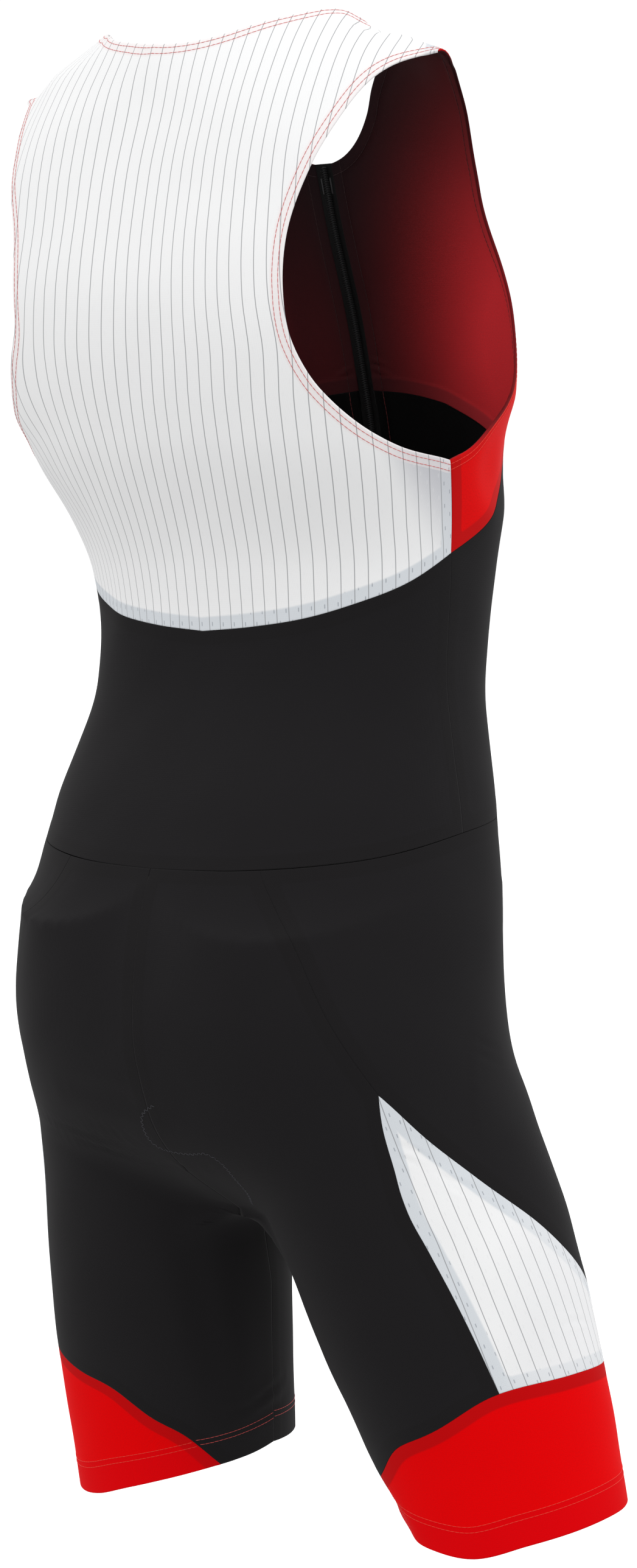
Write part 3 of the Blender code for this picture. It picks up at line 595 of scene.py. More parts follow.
CREASES = [
    # the fan of fine wrinkles under the left seat, and the soft hollow above it
    crease(8.0, 1.1, (70, 83, -641), (30, 88, -639), (2, 89, -640)),
    crease(2.0, 0.55, (128, 47, -661), (109, 57, -666), (81, 64, -669), (53, 65, -673), (31, 64, -675),
           (14, 64, -677)),
    crease(2.0, 0.60, (137, 34, -672), (97, 56, -675), (71, 60, -678), (43, 55, -684), (18, 53, -686),
           (-7, 61, -681)),
    crease(1.8, 0.45, (66, 75, -659), (43, 73, -664), (25, 70, -669), (6, 72, -669)),
    crease(1.8, 0.50, (42, 47, -691), (17, 49, -689), (-12, 57, -684), (-38, 61, -680)),
    crease(1.6, 0.45, (12, 46, -694), (-15, 54, -689), (-38, 59, -685)),
    crease(1.6, 0.35, (9, 73, -665), (-9, 76, -663), (-27, 75, -662)),
    crease(1.6, 0.35, (-2, 83, -653), (-11, 82, -655), (-22, 79, -656)),
    # drawn to the inside of the left thigh and its hem
    crease(11.0, 1.5, (37, 12, -730), (44, -15, -785), (51, -37, -830), (57, -56, -866)),
    crease(3.2, 1.5, (62, -54, -874), (52, -76, -870), (48, -90, -863), (49, -108, -857)),
    crease(4.5, 0.9, (54, -70, -882), (46, -95, -878), (50, -118, -872)),
    # ripples across the right wedge
    crease(1.8, 0.45, (-144, 32, -659), (-150, 23, -662), (-157, 11, -668)),
    crease(1.7, 0.40, (-143, 31, -665), (-148, 24, -668), (-153, 17, -671)),
    crease(1.8, 0.50, (-159, 8, -678), (-165, -1, -683), (-173, -16, -689)),
    crease(1.7, 0.42, (-161, 5, -683), (-166, -3, -688), (-170, -11, -691)),
    crease(1.8, 0.40, (-198, -66, -779), (-199, -82, -778), (-197, -98, -781)),
    # small ones at the right hip, beside the zip and above the right cuff
    crease(1.9, 0.60, (-166, -18, -599), (-166, -34, -605), (-163, -52, -610)),
    crease(1.9, 0.50, (-166, -21, -607), (-166, -35, -613), (-164, -52, -617)),
    crease(1.8, 0.55, (-7, -127, -191), (-15, -129, -193), (-24, -130, -200)),
    crease(1.8, 0.45, (-7, -126, -186), (-14, -127, -187), (-21, -128, -192)),
    crease(1.8, 0.45, (7, -127, -190), (16, -129, -193), (23, -130, -197)),
    crease(2.2, 0.50, (-156, -5, -813), (-165, -11, -804), (-173, -17, -793)),
    crease(2.2, 0.45, (-150, -1, -806), (-159, -7, -798), (-167, -11, -789)),
    crease(2.2, 0.35, (-155, -3, -795), (-163, -9, -787)),
    # and, as they would be, at the front of both groins, the left wedge and the right inner thigh
    crease(3.5, 0.9, (-24, -112, -646), (-52, -118, -628), (-88, -112, -604)),
    crease(3.0, 0.7, (-30, -104, -660), (-60, -114, -646), (-98, -108, -628)),
    crease(3.4, 0.8, (22, -112, -641), (50, -119, -622), (80, -114, -596)),
    crease(2.8, 0.6, (33, -106, -662), (66, -114, -650), (96, -108, -634)),
    crease(1.8, 0.45, (145, 31, -662), (151, 22, -666), (158, 10, -672)),
    crease(1.8, 0.50, (160, 6, -683), (167, -5, -688), (174, -18, -695)),
    crease(9.0, 1.2, (-38, 10, -738), (-45, -18, -790), (-52, -42, -836)),
]


WAVER = 0.00022               # how unevenly worn cloth lies everywhere


def creased(points):
    """How far out, or where negative how far in, the worn cloth lies from its plain form."""
    x, y, z = (points[..., k] for k in range(3))
    lift = WAVER * (np.sin(61 * x + 38 * z + 1.0) * np.sin(47 * z - 29 * y)
                    + 0.7 * np.sin(118 * z + 55 * x - 40 * y) * np.sin(83 * x + 71 * y + 2.0))
    for half_width, depth, path in CREASES:
        box = np.ones(points.shape[:-1], bool)
        for k in range(3):
            box &= (points[..., k] > path[:, k].min() - 4 * half_width)
            box &= (points[..., k] < path[:, k].max() + 4 * half_width)
        near = points[box]
        if not len(near):
            continue
        nearest, share = np.full(len(near), 1.0), np.zeros(len(near))
        for k, (a, b) in enumerate(zip(path, path[1:])):
            t = np.clip((near - a) @ (b - a) / ((b - a) @ (b - a)), 0, 1)
            away = np.linalg.norm(near - a - t[:, None] * (b - a), axis=-1)
            share = np.where(away < nearest, (k + t) / (len(path) - 1), share)
            nearest = np.minimum(nearest, away)
        swell = np.sin(np.pi * np.clip(share, 0.03, 0.97)) ** 0.7
        across = nearest / half_width
        lift[box] -= depth * swell * (np.exp(-across ** 2) - 0.45 * np.exp(-(across - 1.7) ** 2 / 0.8))
    return lift


class Value:
    """A number that changes over a material; sums on it become Math nodes."""

    def __init__(self, look, socket):
        self.look, self.socket = look, socket

    def __add__(self, other):
        return self.look.sum("ADD", self, other)

    def __mul__(self, other):
        return self.look.sum("MULTIPLY", self, other)

    def __sub__(self, other):
        return self.look.sum("SUBTRACT", self, other)

    def __rsub__(self, other):
        return self.look.sum("SUBTRACT", other, self)

    def __truediv__(self, other):
        return self.look.sum("DIVIDE", self, other)

    __radd__, __rmul__ = __add__, __mul__


class Look:
    """A material under way."""

    def __init__(self, name, roughness, sheen=0.0, gloss=0.5, metal=0.0):
        self.material = bpy.data.materials.new(name)
        self.material.use_nodes = True
        self.tree = self.material.node_tree
        self.shader = self.tree.nodes["Principled BSDF"]
        self.shader.inputs["Roughness"].default_value = roughness
        self.shader.inputs["Specular IOR Level"].default_value = gloss
        self.shader.inputs["Sheen Weight"].default_value = sheen
        self.shader.inputs["Metallic"].default_value = metal

    def node(self, kind, settings, sockets, output=0):
        """Any node: its settings first, then the values or links of its sockets."""
        made = self.tree.nodes.new("ShaderNode" + kind)
        for name, setting in settings.items():
            setattr(made, name, setting)
        for key, value in sockets.items():
            if isinstance(value, Value):
                self.tree.links.new(value.socket, made.inputs[key])
            else:
                made.inputs[key].default_value = value
        return Value(self, made.outputs[output])

    def sum(self, operation, *values):
        """A Math node's number."""
        return self.node("Math", dict(operation=operation), dict(enumerate(values)))

    def rise(self, value, begin, end):
        """0 where the value is at begin, 1 at end, and a soft rise between."""
        return self.node("MapRange", dict(interpolation_type="SMOOTHSTEP"),
                         {"Value": value, "From Min": begin, "From Max": end})

    def mixed(self, share, first, second):
        """A colour between two; sockets 6 and 7 of a Mix node, and its output 2, are its colours."""
        first, second = ((*c, 1.0) if isinstance(c, tuple) else c for c in (first, second))
        return self.node("Mix", dict(data_type="RGBA"), {0: share, 6: first, 7: second}, 2)

    def held(self, title):
        """One of the cloth's own numbers, such as the distance to a seam in mm."""
        return self.node("Attribute", dict(attribute_name=title), {}, "Fac")

    def cut(self):
        """The place in the flat cut, in metres."""
        return self.node("UVMap", dict(uv_map="cut"), {})

    def spot(self):
        """The place on the suit, in metres."""
        return self.node("TexCoord", {}, {}, "Object")

    def parts(self, place):
        """The three numbers of a place."""
        outputs = self.node("SeparateXYZ", {}, {"Vector": place}).socket.node.outputs
        return [Value(self, output) for output in outputs]

    def noise(self, place, scale, detail=2.0):
        """A soft mottle, about 0.5."""
        return self.node("TexNoise", {}, {"Vector": place, "Scale": scale, "Detail": detail})

    def finish(self, colour, bumps=()):
        """Joins colour and bumps, each a height in metres and its strength, to the shader."""
        self.tree.links.new(colour.socket, self.shader.inputs["Base Color"])
        normal = None
        for height, strength, depth in bumps:
            sockets = {"Height": height, "Strength": strength, "Distance": depth}
            if normal:
                sockets["Normal"] = normal
            normal = self.node("Bump", {}, sockets)
        if normal:
            self.tree.links.new(normal.socket, self.shader.inputs["Normal"])
        return self.material


WALE, COURSE, KNIT_DEPTH = 0.0011, 0.0013, 0.00004


def knit_bumps(look, place, strength):
    """Fine wales that run down the cut, and courses across them."""
    across, along, _ = look.parts(place)
    wales = look.sum("SINE", across * (2 * math.pi / WALE))
    courses = look.sum("SINE", along * (2 * math.pi / COURSE))
    return [(wales * 0.6 + courses * 0.4, strength, KNIT_DEPTH)]


# Pinstripes as they lie on the wearer, in mm: where the middle one runs, to the right of the
# centre back, and how far apart they are on its right and on its left, level by level.
STRIPES = table(
    "z      middle  right  left",
    (0.020,   7.5,   7.6,   9.0),
    (-0.050,  5.6,   7.6,  10.0),
    (-0.080,  2.2,   7.8,   9.8),
    (-0.120,  0.0,   8.05,  9.7),
    (-0.160, -1.5,   8.3,  10.2),
    (-0.190, -5.5,   8.8,  10.4),
    (-0.220, -10.0,  8.8,   9.8),
    (-0.250, -13.5,  8.75,  8.6),
    (-0.300, -20.7,  8.4,   7.0),
    (-0.345, -25.0,  8.2,   6.6),
    (-0.370, -26.5,  8.2,   6.6),
)
EVEN_OUT = 0.043              # metres from the centre back over which left passes into right
WIDEST_TURN = 130             # degrees
STRIPE_LEVELS, STRIPE_BEARINGS = 78, 261


def stripe_number(points):
    """How many pinstripes each place of the back lies from the centre back, level with it."""
    heights, turns = np.linspace(-0.37, 0.015, STRIPE_LEVELS), np.linspace(0, WIDEST_TURN, STRIPE_BEARINGS)
    bearing = np.radians(turns)
    ways = np.stack([-np.sin(bearing), np.cos(bearing), np.zeros(len(turns))], -1)
    ways = np.broadcast_to(ways, (len(heights), *ways.shape))
    middles = np.stack([0 * heights, level(TRUNK, "side", heights), heights], -1)
    around = reached(np.broadcast_to(middles[:, None], ways.shape), ways)
    run = np.c_[np.zeros(len(heights)), np.cumsum(np.linalg.norm(np.diff(around, axis=1), axis=-1), axis=1)]
    x, y, z = points[..., 0], points[..., 1], np.clip(points[..., 2], heights[0], heights[-1])
    turn = np.degrees(np.arctan2(np.abs(x), y - level(TRUNK, "side", z)))
    row = (z - heights[0]) / (heights[1] - heights[0])
    column = np.clip(turn / WIDEST_TURN, 0, 1) * (len(turns) - 1)
    r, c = np.minimum(row.astype(int), len(heights) - 2), np.minimum(column.astype(int), len(turns) - 2)
    v, u = row - r, column - c
    along = ((1 - v) * ((1 - u) * run[r, c] + u * run[r, c + 1])
             + v * ((1 - u) * run[r + 1, c] + u * run[r + 1, c + 1])) * -np.sign(x)
    middle, right, left = (level(STRIPES, column, z) / 1000 for column in ("middle", "right", "left"))
    along = along - middle
    return along / ((right + left) / 2 + (right - left) / 2 * np.tanh(along / EVEN_OUT))


STRIPE_HALF = 0.00024
DASH_STEP, DASH_HALF, DASH_LONG = 0.0144, 0.00030, 0.0013
WHITE, WHITE_SHADE = (0.925, 0.925, 0.928), (0.905, 0.908, 0.912)
# the first colour here is painted shade: the bluish grey of the white knit's flanks, where they turn from the
# light
FLANK_SHADE_BLUE, BAND_BLUE, FOLD_PINK = (0.50, 0.505, 0.55), (0.66, 0.70, 0.74), (0.90, 0.835, 0.83)
DASH_GREY, DASH_WHITE = (0.20, 0.22, 0.26), (0.98, 0.98, 0.98)
# the last colour is painted shade for the white knit's reverse side, inside the suit
STRIPE_GREY, REVERSE_SHADE_GREY = (0.30, 0.305, 0.32), (0.62, 0.62, 0.63)


def pinstriped(name, pitch, flanks, below, shade_and_dash_share):
    """White knit with pinstripes and thin little dashes down the cut.  Seam edges show through it,
    and a bluish painted shade darkens it by a share between the flanks, in metres from the middle,
    and below a height; the same share sets how much the white dashes show."""
    look = Look(name, 0.72, gloss=0.2)
    place = look.cut()
    along = look.parts(place)[1]
    turn = look.held("stripe") + (look.noise(place, 26.0) - 0.5) * 0.05
    off_stripe = look.sum("PINGPONG", turn, 0.5) * pitch
    stripe = 1 - look.rise(off_stripe, STRIPE_HALF - 0.00012, STRIPE_HALF + 0.00016)
    # two columns of dashes between stripes, the second half a step lower
    column = turn * 2 - 0.54
    off_column = look.sum("PINGPONG", column, 0.5) * (pitch / 2)
    stagger = look.sum("FLOOR", column + 0.5) * 0.5
    off_middle = look.sum("PINGPONG", along / DASH_STEP + stagger, 0.5) * DASH_STEP
    dash = ((1 - look.rise(off_column, DASH_HALF - 0.00012, DASH_HALF + 0.00018))
            * (1 - look.rise(off_middle, DASH_LONG - 0.0004, DASH_LONG + 0.0003)))
    to_seam, to_fold, inside = look.held("to_seam"), look.held("to_fold"), look.held("inside")
    shadow = 1 - look.rise(to_seam, 7.6, 9.4)
    fold = 1 - look.rise(to_fold, 7.4, 8.2)
    body = look.mixed(look.noise(place, 9.0), WHITE, WHITE_SHADE)
    # painted bluish shade on the flanks, which turn away from the light, and the seam band melts into it
    x, _, z = look.parts(look.spot())
    flank_shade = look.rise(look.sum("ABSOLUTE", x), *flanks) * (1 - look.rise(z, below - 0.03, below + 0.05))
    body = look.mixed(flank_shade * shade_and_dash_share, body, FLANK_SHADE_BLUE)
    body = look.mixed(shadow * (0.85 - flank_shade * 0.45), body, BAND_BLUE)
    body = look.mixed(fold * 0.55, body, FOLD_PINK)
    body = look.mixed(dash * (shadow * 0.5 + 0.06), body, DASH_GREY)
    body = look.mixed(dash * (1 - shadow) * (0.3 * shade_and_dash_share), body, DASH_WHITE)
    body = look.mixed(stripe * 0.88, body, STRIPE_GREY)
    # the reverse side is painted a little grey, as the shade inside the suit
    body = look.mixed(inside * 0.25, body, REVERSE_SHADE_GREY)
    return look.finish(body, knit_bumps(look, place, 0.35))


NECK_BACK = table(
    "out     y       z",
    (0.000,  0.077, -0.008),
    (0.041,  0.068, -0.005),
    (0.068,  0.051,  0.004),
    (0.088,  0.031,  0.010),
    (0.101,  0.008,  0.014),
    (0.098, -0.014,  0.011),
)
SHOULDER_SEAM = table(
    "out     y       z",
    (0.098, -0.014,  0.011),
    (0.126, -0.012, -0.003),
    (0.149, -0.002, -0.012),
    (0.161,  0.013, -0.016),
)
ARMHOLE_BACK = table(
    "out     y       z",
    (0.161,  0.013, -0.016),
    (0.148,  0.031, -0.023),
    (0.137,  0.047, -0.037),
    (0.126,  0.066, -0.064),
    (0.117,  0.077, -0.088),
    (0.107,  0.086, -0.125),
    (0.104,  0.086, -0.158),
    (0.106,  0.082, -0.184),
    (0.112,  0.070, -0.208),
    (0.124,  0.052, -0.229),
    (0.140,  0.026, -0.246),
    (0.153, -0.011, -0.254),
)
SIDE_SEAM_TOP = table(
    "out     y       z",
    (0.153, -0.011, -0.254),
    (0.145, -0.024, -0.284),
    (0.139, -0.032, -0.309),
)
BACK_PANEL_HEM = table(
    "out     y       z",
    (0.000,  0.034, -0.357),
    (0.036,  0.033, -0.354),
    (0.074,  0.026, -0.348),
    (0.104,  0.012, -0.338),
    (0.124, -0.004, -0.328),
    (0.139, -0.032, -0.309),
)
ARMHOLE_STEPS, SIDE_TOP_STEPS, SHOULDER_STEPS = 12, 3, 3
SEAT_STEPS, HIP_STEPS = 8, 4
FOLD_WIDTH = 0.0078           # neck, armholes and zip
BACK_PITCH = 0.0082           # between pinstripes

neck_back = seam(NECK_BACK, 9, folded=True)
shoulder = seam(SHOULDER_SEAM, SHOULDER_STEPS)
armhole_back = seam(ARMHOLE_BACK, ARMHOLE_STEPS, folded=True)
side_top = seam(SIDE_SEAM_TOP, SIDE_TOP_STEPS)
back_hem = seam(BACK_PANEL_HEM, SEAT_STEPS + HIP_STEPS)


def straight_down(top, bottom, count):
    """The centre back between two heights; it is no seam, because the piece runs across it."""
    heights = np.linspace(top, bottom, count * THREADS + 1)
    return marked(np.stack([0 * heights, heights], -1), 0)


def cut_and_sew(name, cut, flat, look, slot, replaced, fold_width=FOLD_WIDTH, stripes=None):
    """One piece of cloth with its look; flat is its coarse grid laid flat."""
    flat = finer(flat, cut["down"], cut["across"])
    seam_roll = BLACK_ROLL if slot == "black_cloth" else SEAM_ROLL
    made = sew(name, cut, flat, fold_width, seam_roll, stripes)
    made.data.materials.append(look)
    falling, rising = flat[1:, 1:] - flat[:-1, :-1], flat[:-1, 1:] - flat[1:, :-1]
    area = np.abs(falling[..., 0] * rising[..., 1] - falling[..., 1] * rising[..., 0]).sum() / 2
    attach(made, "suit")
    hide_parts(replaced)
    return dict(cut, piece=made)


back_cut = both_halves(cut_out(
    run_on(neck_back, shoulder), back_hem,
    straight_down(neck_back[0, 1], back_hem[0, 1], ARMHOLE_STEPS + SIDE_TOP_STEPS),
    run_on(armhole_back, side_top)))
back_flat = upright(laid_flat(back_cut["coarse"]), back_cut["coarse"].shape[1] // 2)
white_back = pinstriped("white_pinstriped_knit", BACK_PITCH, (0.134, 0.152), -0.17, 0.8)
back_cloth = cut_and_sew("back_cloth", back_cut, back_flat, white_back, "white_cloth", "back_white",
                         stripes=stripe_number(back_cut["points"]))

# ------------------------------------------------------------ upper front
# Two red pieces of the same knit, from the shoulder seams round under the arms, with the zip
# between them.  Neck, armholes and the zip's edges are folded in, the rest is overlocked.
NECK_FRONT = table(
    "out     y       z",
    (0.098, -0.014,  0.011),
    (0.092, -0.029,  0.006),
    (0.082, -0.043,  0.000),
    (0.065, -0.059, -0.010),
    (0.052, -0.069, -0.023),
    (0.042, -0.077, -0.038),
    (0.030, -0.083, -0.051),
    (0.017, -0.086, -0.060),
    (0.006, -0.087, -0.064),
)
ARMHOLE_FRONT = table(
    "out     y       z",
    (0.161,  0.013, -0.016),
    (0.153, -0.016, -0.018),
    (0.142, -0.043, -0.045),
    (0.134, -0.063, -0.075),
    (0.137, -0.076, -0.115),
    (0.150, -0.081, -0.155),
    (0.158, -0.080, -0.190),
    (0.160, -0.069, -0.213),
    (0.161, -0.049, -0.231),
    (0.158, -0.029, -0.246),
    (0.153, -0.011, -0.254),
)
FRONT_PANEL_HEM = table(
    "out     y       z",
    (0.139, -0.032, -0.309),
    (0.143, -0.055, -0.297),
    (0.138, -0.086, -0.274),
    (0.104, -0.123, -0.234),
    (0.069, -0.131, -0.217),
    (0.034, -0.133, -0.208),
    (0.006, -0.133, -0.205),
)
CENTRE_FRONT = table(
    "out     y       z",
    (0.006, -0.087, -0.064),
    (0.006, -0.100, -0.105),
    (0.006, -0.120, -0.160),
    (0.006, -0.133, -0.205),
)
FRONT_STEPS = 9

neck_front = seam(NECK_FRONT, 6, folded=True)
armhole_front = seam(ARMHOLE_FRONT, ARMHOLE_STEPS, folded=True)
front_hem = seam(FRONT_PANEL_HEM, FRONT_STEPS)
centre_front = seam(CENTRE_FRONT, ARMHOLE_STEPS + SIDE_TOP_STEPS, folded=True)


def on_the_left(cut):
    """The same piece on the wearer's left."""
    top, bottom, left, right = cut["folded"]
    return dict(cut, points=mirrored(cut["points"]), normals=mirrored(cut["normals"]),
                folded=[top[::-1], bottom[::-1], right, left],
                across=cut["across"][-1] - cut["across"][::-1])


def cut_and_sew_pair(name, cut, flat, look, slot, replaced, fold_width=FOLD_WIDTH, hung=None, stripes=None):
    """The piece of the right side, and its twin on the left, which may hang a little lower."""
    right = cut_and_sew(name + "_right", cut, flat, look, slot, replaced + "_right", fold_width, stripes)
    left = cut_and_sew(name + "_left", on_the_left(hung or cut), flat[:, ::-1] * (-1, 1), look, slot,
                       replaced + "_left", fold_width, None if stripes is None else stripes[:, ::-1])
    return right, left


# Painted shade for the rolled rim of an armhole, which lies in shade inside the suit.
RIM_SHADE = (0.010, 0.0015, 0.0018)


def plain_knit(name, deep, fresh, edge, roughness=0.68, sheen=0.0, gloss=0.2, fold_mm=7.6, rolled_edge=None,
               reverse=None, rim_shade=None, grain=0.16):
    """A plain dyed knit in two close tones, darker where seam edges lie behind it.  Two functions of
    the look give its reverse side's colour, painted dark as the shade inside the suit, and where the
    outer edge takes on that painted shade, with a darker painted shade over it there."""
    look = Look(name, roughness, gloss=gloss, sheen=sheen)
    place = look.cut()
    to_seam, to_fold = look.held("to_seam"), look.held("to_fold")
    body = look.mixed(look.noise(place, 14.0, 3.0), deep, fresh)
    speckle = look.rise(look.noise(place, 900.0, 1.0), 0.35, 0.7)
    body = look.mixed(speckle * grain, body, edge)
    behind = 1 - look.rise(to_seam, 7.8, 9.4)
    body = look.mixed(behind * 0.9, body, edge)
    folded = 1 - look.rise(to_fold, fold_mm - 0.4, fold_mm + 0.4)
    body = look.mixed(folded * 0.35, body, rolled_edge or edge)
    # the reverse side, and the rim along with it, takes a painted shade
    if reverse:
        turned_in = look.rise(look.held("inside"), 0.1, 0.5)
        rim_shade_share = rim_shade(look, 1 - look.rise(to_fold, 1.6, 2.6)) if rim_shade else 0.0
        body = look.mixed(look.sum("MAXIMUM", turned_in, rim_shade_share), body, reverse(look, body))
        if rim_shade:
            # a darker painted shade over the armhole's rim, which lies in shade
            body = look.mixed(rim_shade_share * 0.72, body, RIM_SHADE)
    return look.finish(body, knit_bumps(look, place, 0.4))


front_cut = cut_out(run_on(shoulder[::-1], neck_front), front_hem,
                    run_on(armhole_front, side_top), centre_front)
front_flat = upright(laid_flat(front_cut["coarse"]), front_cut["coarse"].shape[1] - 1)


def chest_reverse_shade(look, body):
    """The chest's reverse side in painted shade: dark at the middle and the neck, where little light gets in,
    lighter and redder to the side and below, towards the armhole.
    """
    x, _, z = look.parts(look.spot())
    out, z = look.sum("ABSOLUTE", x) * 10, z * 10
    # painted light: how much light reaches each place of the chest's reverse side
    power = out * (out * -2.1 + z * 0.41 + 6.3) + z * (z * -1.0 - 4.2) - 8.1
    fresh = look.sum("MINIMUM", look.sum("EXPONENT", power) * 1.25, 1.0)
    fresh = fresh * (1 - look.rise(x, 0.0, 0.05) * 0.75)     # the far side lies in deep shade
    return look.mixed(fresh, (0.008, 0.0058, 0.0068), look.mixed(0.93, (0.10, 0.42, 0.52), body))


def armhole_rim_shade(look, rim):
    """The share of painted shade on the rim, along the upper part of the armhole only, where the rolled rim
    lies in shade.
    """
    x, _, z = look.parts(look.spot())
    rim = rim * look.rise(look.sum("ABSOLUTE", x), 0.100, 0.112)
    return rim * look.rise(z, -0.255, -0.225) * (1 - look.rise(z, -0.024, -0.018))


def black_reverse_shade(look, _):
    """Black knit's reverse side, painted near black as the shade inside the suit, where hardly any light
    comes.
    """
    return look.mixed(0.5, (0.0004, 0.0004, 0.0004), (0.0008, 0.0008, 0.0008))


red_knit = plain_knit("red_knit", (0.74, 0.0010, 0.0012), (0.80, 0.0015, 0.0018), (0.52, 0.0040, 0.0045),
                      gloss=0.05, reverse=chest_reverse_shade, rim_shade=armhole_rim_shade, grain=0.30)
front_cloth = cut_and_sew_pair("front_cloth", front_cut, front_flat, red_knit, "red_cloth", "front_red")

# ------------------------------------------------------------ midriff
# Black knit round the waist: one piece behind and two in front, sewn to the upper pieces, to
# each other at the side seams and to the shorts at the waist seam.  The front edges hold the zip.
SIDE_SEAM = table(
    "out     y       z",
    (0.139, -0.032, -0.309),
    (0.133, -0.039, -0.350),
    (0.132, -0.040, -0.405),
    (0.150, -0.030, -0.477),
)
ZIP_FOOT = table(
    "out     y       z",
    (0.006, -0.133, -0.205),
    (0.006, -0.150, -0.300),
    (0.006, -0.152, -0.390),
    (0.006, -0.144, -0.465),
)
WAIST = table(
    "turn  z",
    (0,    -0.499),
    (30,   -0.497),
    (60,   -0.490),
    (88,   -0.477),
    (135,  -0.468),
    (180,  -0.465),
)
PRINCESS = table(
    "turn  z",
    (36,   -0.4965),
    (44,   -0.540),
    (47,   -0.587),
    (49.5, -0.628),
)
SIDE_STEPS = 8


def waist_seam(turns, count):
    """A stretch of the waist seam between two turns."""
    fine = np.linspace(*turns, 4 * DRAWING)
    return marked(shared_out(np.stack([fine, level(WAIST, "z", fine)], -1), count), 0)


def led_to(line, place):
    """The line led smoothly so that it ends at the place."""
    share = np.linspace(0, 1, len(line)) ** 3
    return np.column_stack([line[:, :2] + share[:, None] * (place[:2] - line[-1, :2]), line[:, 2]])


side, zip_foot = seam(SIDE_SEAM, SIDE_STEPS), seam(ZIP_FOOT, SIDE_STEPS, folded=True)
waist_seat = waist_seam((0, PRINCESS["turn"][0]), SEAT_STEPS)
waist_side = waist_seam((PRINCESS["turn"][0], side[-1, 0]), HIP_STEPS)
waist_front = waist_seam((side[-1, 0], zip_foot[-1, 0]), FRONT_STEPS)
side, zip_foot = led_to(side, waist_side[-1]), led_to(zip_foot, waist_front[-1])

black_knit = plain_knit("black_knit", (0.0130, 0.0121, 0.0130), (0.0146, 0.0137, 0.0148),
                        (0.0130, 0.0121, 0.0128), roughness=0.75, sheen=0.04, gloss=0.03,
                        reverse=black_reverse_shade)
midriff_back_cut = both_halves(cut_out(back_hem, run_on(waist_seat, waist_side),
                                       straight_down(back_hem[0, 1], waist_seat[0, 1], SIDE_STEPS), side))
midriff_back_flat = upright(laid_flat(midriff_back_cut["coarse"]), SEAT_STEPS + HIP_STEPS)
cut_and_sew("midriff_back_cloth", midriff_back_cut, midriff_back_flat, black_knit, "black_cloth",
            "midriff_back")
midriff_front_cut = cut_out(front_hem, waist_front, side, zip_foot)
midriff_front_flat = upright(laid_flat(midriff_front_cut["coarse"]), FRONT_STEPS)
midriff_front = cut_and_sew_pair("midriff_front_cloth", midriff_front_cut, midriff_front_flat,
                                 black_knit, "black_cloth", "midriff_front")

# ------------------------------------------------------------ shorts
# Two black pieces behind with a centre-back seam, and two at the side and front, all in one with
# the insides of the legs.  The left leg is worn a little lower on its outside.
WEDGE_REAR = table(
    "out     y       z",
    (0.142,  0.043, -0.628),
    (0.141,  0.036, -0.653),
    (0.143,  0.028, -0.676),
    (0.147,  0.020, -0.702),
    (0.155,  0.009, -0.727),
    (0.164, -0.003, -0.755),
    (0.173, -0.015, -0.785),
    (0.180, -0.029, -0.817),
)
WEDGE_FRONT = table(
    "out     y       z",
    (0.142,  0.043, -0.628),
    (0.156,  0.013, -0.657),
    (0.171, -0.015, -0.681),
    (0.187, -0.053, -0.709),
    (0.191, -0.080, -0.729),
    (0.184, -0.117, -0.757),
    (0.160, -0.146, -0.786),
    (0.132, -0.162, -0.813),
)
# The hem round a leg, and how much lower the left leg's hem and the top of its cuff hang, in metres.
HEM = table(
    "turn   z       left_drop  cuff_drop",
    (-90,  -0.910,  -0.009,   -0.009),
    (-52,  -0.914,  -0.003,   -0.003),
    (-8,   -0.923,  0.005,    -0.001),
    (15,   -0.925,  0.013,    0.006),
    (45,   -0.915,  0.027,    0.020),
    (90,   -0.905,  0.026,    0.024),
    (125,  -0.905,  0.016,    0.016),
    (180,  -0.906,  0.004,    0.004),
    (233,  -0.908,  -0.005,   -0.005),
    (270,  -0.910,  -0.009,   -0.009),
)
CUFF_RISE = table(
    "turn   rise",
    (-57,   0.000),
    (-40,   0.027),
    (-25,   0.043),
    (-8,    0.066),
    (10,    0.081),
    (45,    0.097),
    (86,    0.096),
    (126,   0.092),
    (165,   0.082),
    (195,   0.064),
    (218,   0.038),
    (235,   0.000),
)
CROTCH_CENTRE = (0.0, -0.040, -0.580)
INSEAM_TURN = 270.0
LEFT_DROP_TOP, LEFT_DROP_FULL = -0.690, -0.820
RISE_STEPS, INSEAM_STEPS, WEDGE_STEPS, WEDGE_FOOT_STEPS = 8, 7, 9, 8
LEG_FOLD_WIDTH = 0.0235       # the deep fold at a leg opening, with the gripper inside


def hem_height(turn):
    """Where the right leg's hem lies."""
    return level(HEM, "z", turn)


def cuff_height(turn):
    """Where the seam above the right leg's cuff lies."""
    return hem_height(turn) + level(CUFF_RISE, "rise", turn)


def round_leg(height, turns, count, folded=False):
    """A line round the leg between two turns, at the height that a function gives."""
    fine = np.linspace(*turns, 6 * DRAWING)
    return marked(shared_out(np.stack([fine, height(fine)], -1), count), folded)


def onto_cuff(line):
    """The line led smoothly so that it ends on the cuff's top line."""
    share = lengths(skin(line))
    miss = cuff_height(line[-1, 0]) - line[-1, 1]
    return np.column_stack([line[:, 0], line[:, 1] + miss * (share / share[-1]) ** 2, line[:, 2]])


